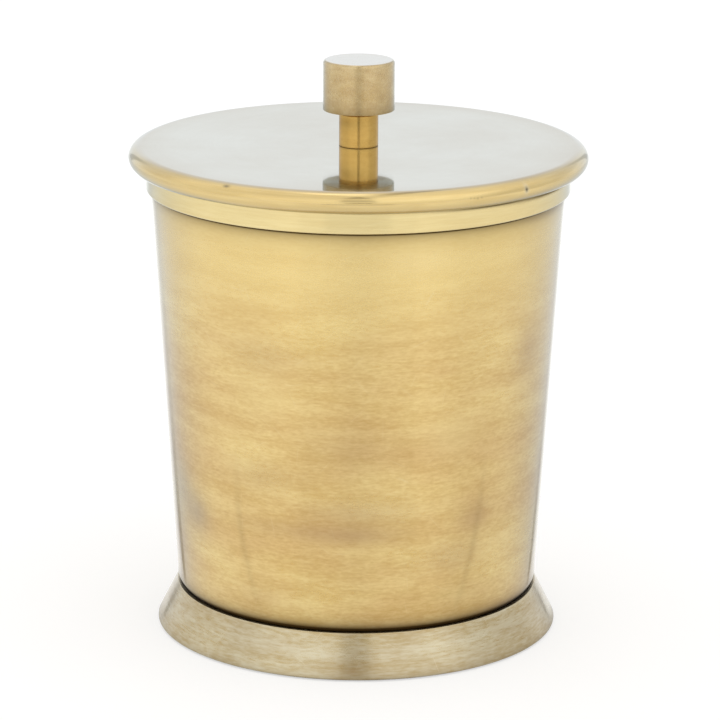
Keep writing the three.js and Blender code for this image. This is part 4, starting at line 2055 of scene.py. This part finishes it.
    def _lane(self, graph: Graph, x: Socket, y: Socket) -> Socket:
        """Finds the floor straight behind the box, between its painted shadows.

        Args:
            graph: The floor's graph.
            x, y: The place on the floor.

        Returns:
            One in the lane.
        """
        slant = self._slant(graph, graph.math("ABSOLUTE", x), y)
        behind = graph.spread(y, *self.lane_from, 0.0, 1.0)
        return graph.times(behind, graph.spread(slant, *self.lane, 1.0, 0.0))

    def _shadow_streaks(self, graph: Graph, x: Socket, y: Socket) -> Socket:
        """How dark the two painted shadows of the box are, which run back and outwards from beside it on
        the floor.

        Args:
            graph: The floor's graph.
            x, y: The place on the floor.

        Returns:
            The darkness, each painted shadow crisper on its inner side than on its outer side.
        """
        both = 0.0
        share = graph.ratio(y, self.streak_end, clamp=True)
        for shadow_streak in self.shadow_streaks:
            slant = self._slant(graph, graph.times(x, shadow_streak.side), y)
            inside = graph.band(slant, shadow_streak.inner, shadow_streak.outer)
            dark = graph.times(inside, graph.ramp(share, shadow_streak.depth))
            both = graph.most(both, dark)
        return both


@dataclass(frozen=True)
class ViewCamera:
    """A long lens a little above the lid, looking down at the box."""

    lens: float = 185.27
    sensor: float = 36.0
    distance: float = 905.9 * MM
    height: float = 314.2 * MM
    aside: float = 0.65 * MM
    pitch: float = math.radians(15.213)
    roll: float = math.radians(0.32)
    clip_end: float = 50.0

    def build(self) -> None:
        """Makes the camera and gives it to the scene."""
        data = bpy.data.cameras.new("view")
        data.lens = self.lens
        data.sensor_width = self.sensor
        data.clip_end = self.clip_end
        camera = bpy.data.objects.new("view", data)
        bpy.context.scene.collection.objects.link(camera)
        tilt = Euler((math.pi / 2 - self.pitch, 0.0, 0.0)).to_matrix()
        turn = tilt @ Matrix.Rotation(self.roll, 3, "Z")
        place = Matrix.Translation((self.aside, -self.distance, self.height))
        camera.matrix_world = place @ turn.to_4x4()
        bpy.context.scene.camera = camera


def main() -> None:
    """Builds the camera, the studio and the box, in that order."""
    logging.basicConfig(level=logging.INFO, format="%(name)s: %(message)s")
    ViewCamera().build()
    Studio().build()
    shop = Workshop()
    Jar(Span.of("cup"), Span.of("rim_ring")).build(shop)
    Foot(
        Span.of("foot_ring"), Span.of("foot_rubber"), Span.of("foot_stud"), Span.of("foot_washer")
    ).build(shop)
    Lid(Span.of("lid_plate"), Span.of("lid_locating_ring")).build(shop)
    Knob(
        Span.of("knob_head"), Span.of("knob_stem"), Span.of("knob_screw"), Span.of("knob_washer")
    ).build(shop)


if __name__ == "__main__":
    main()
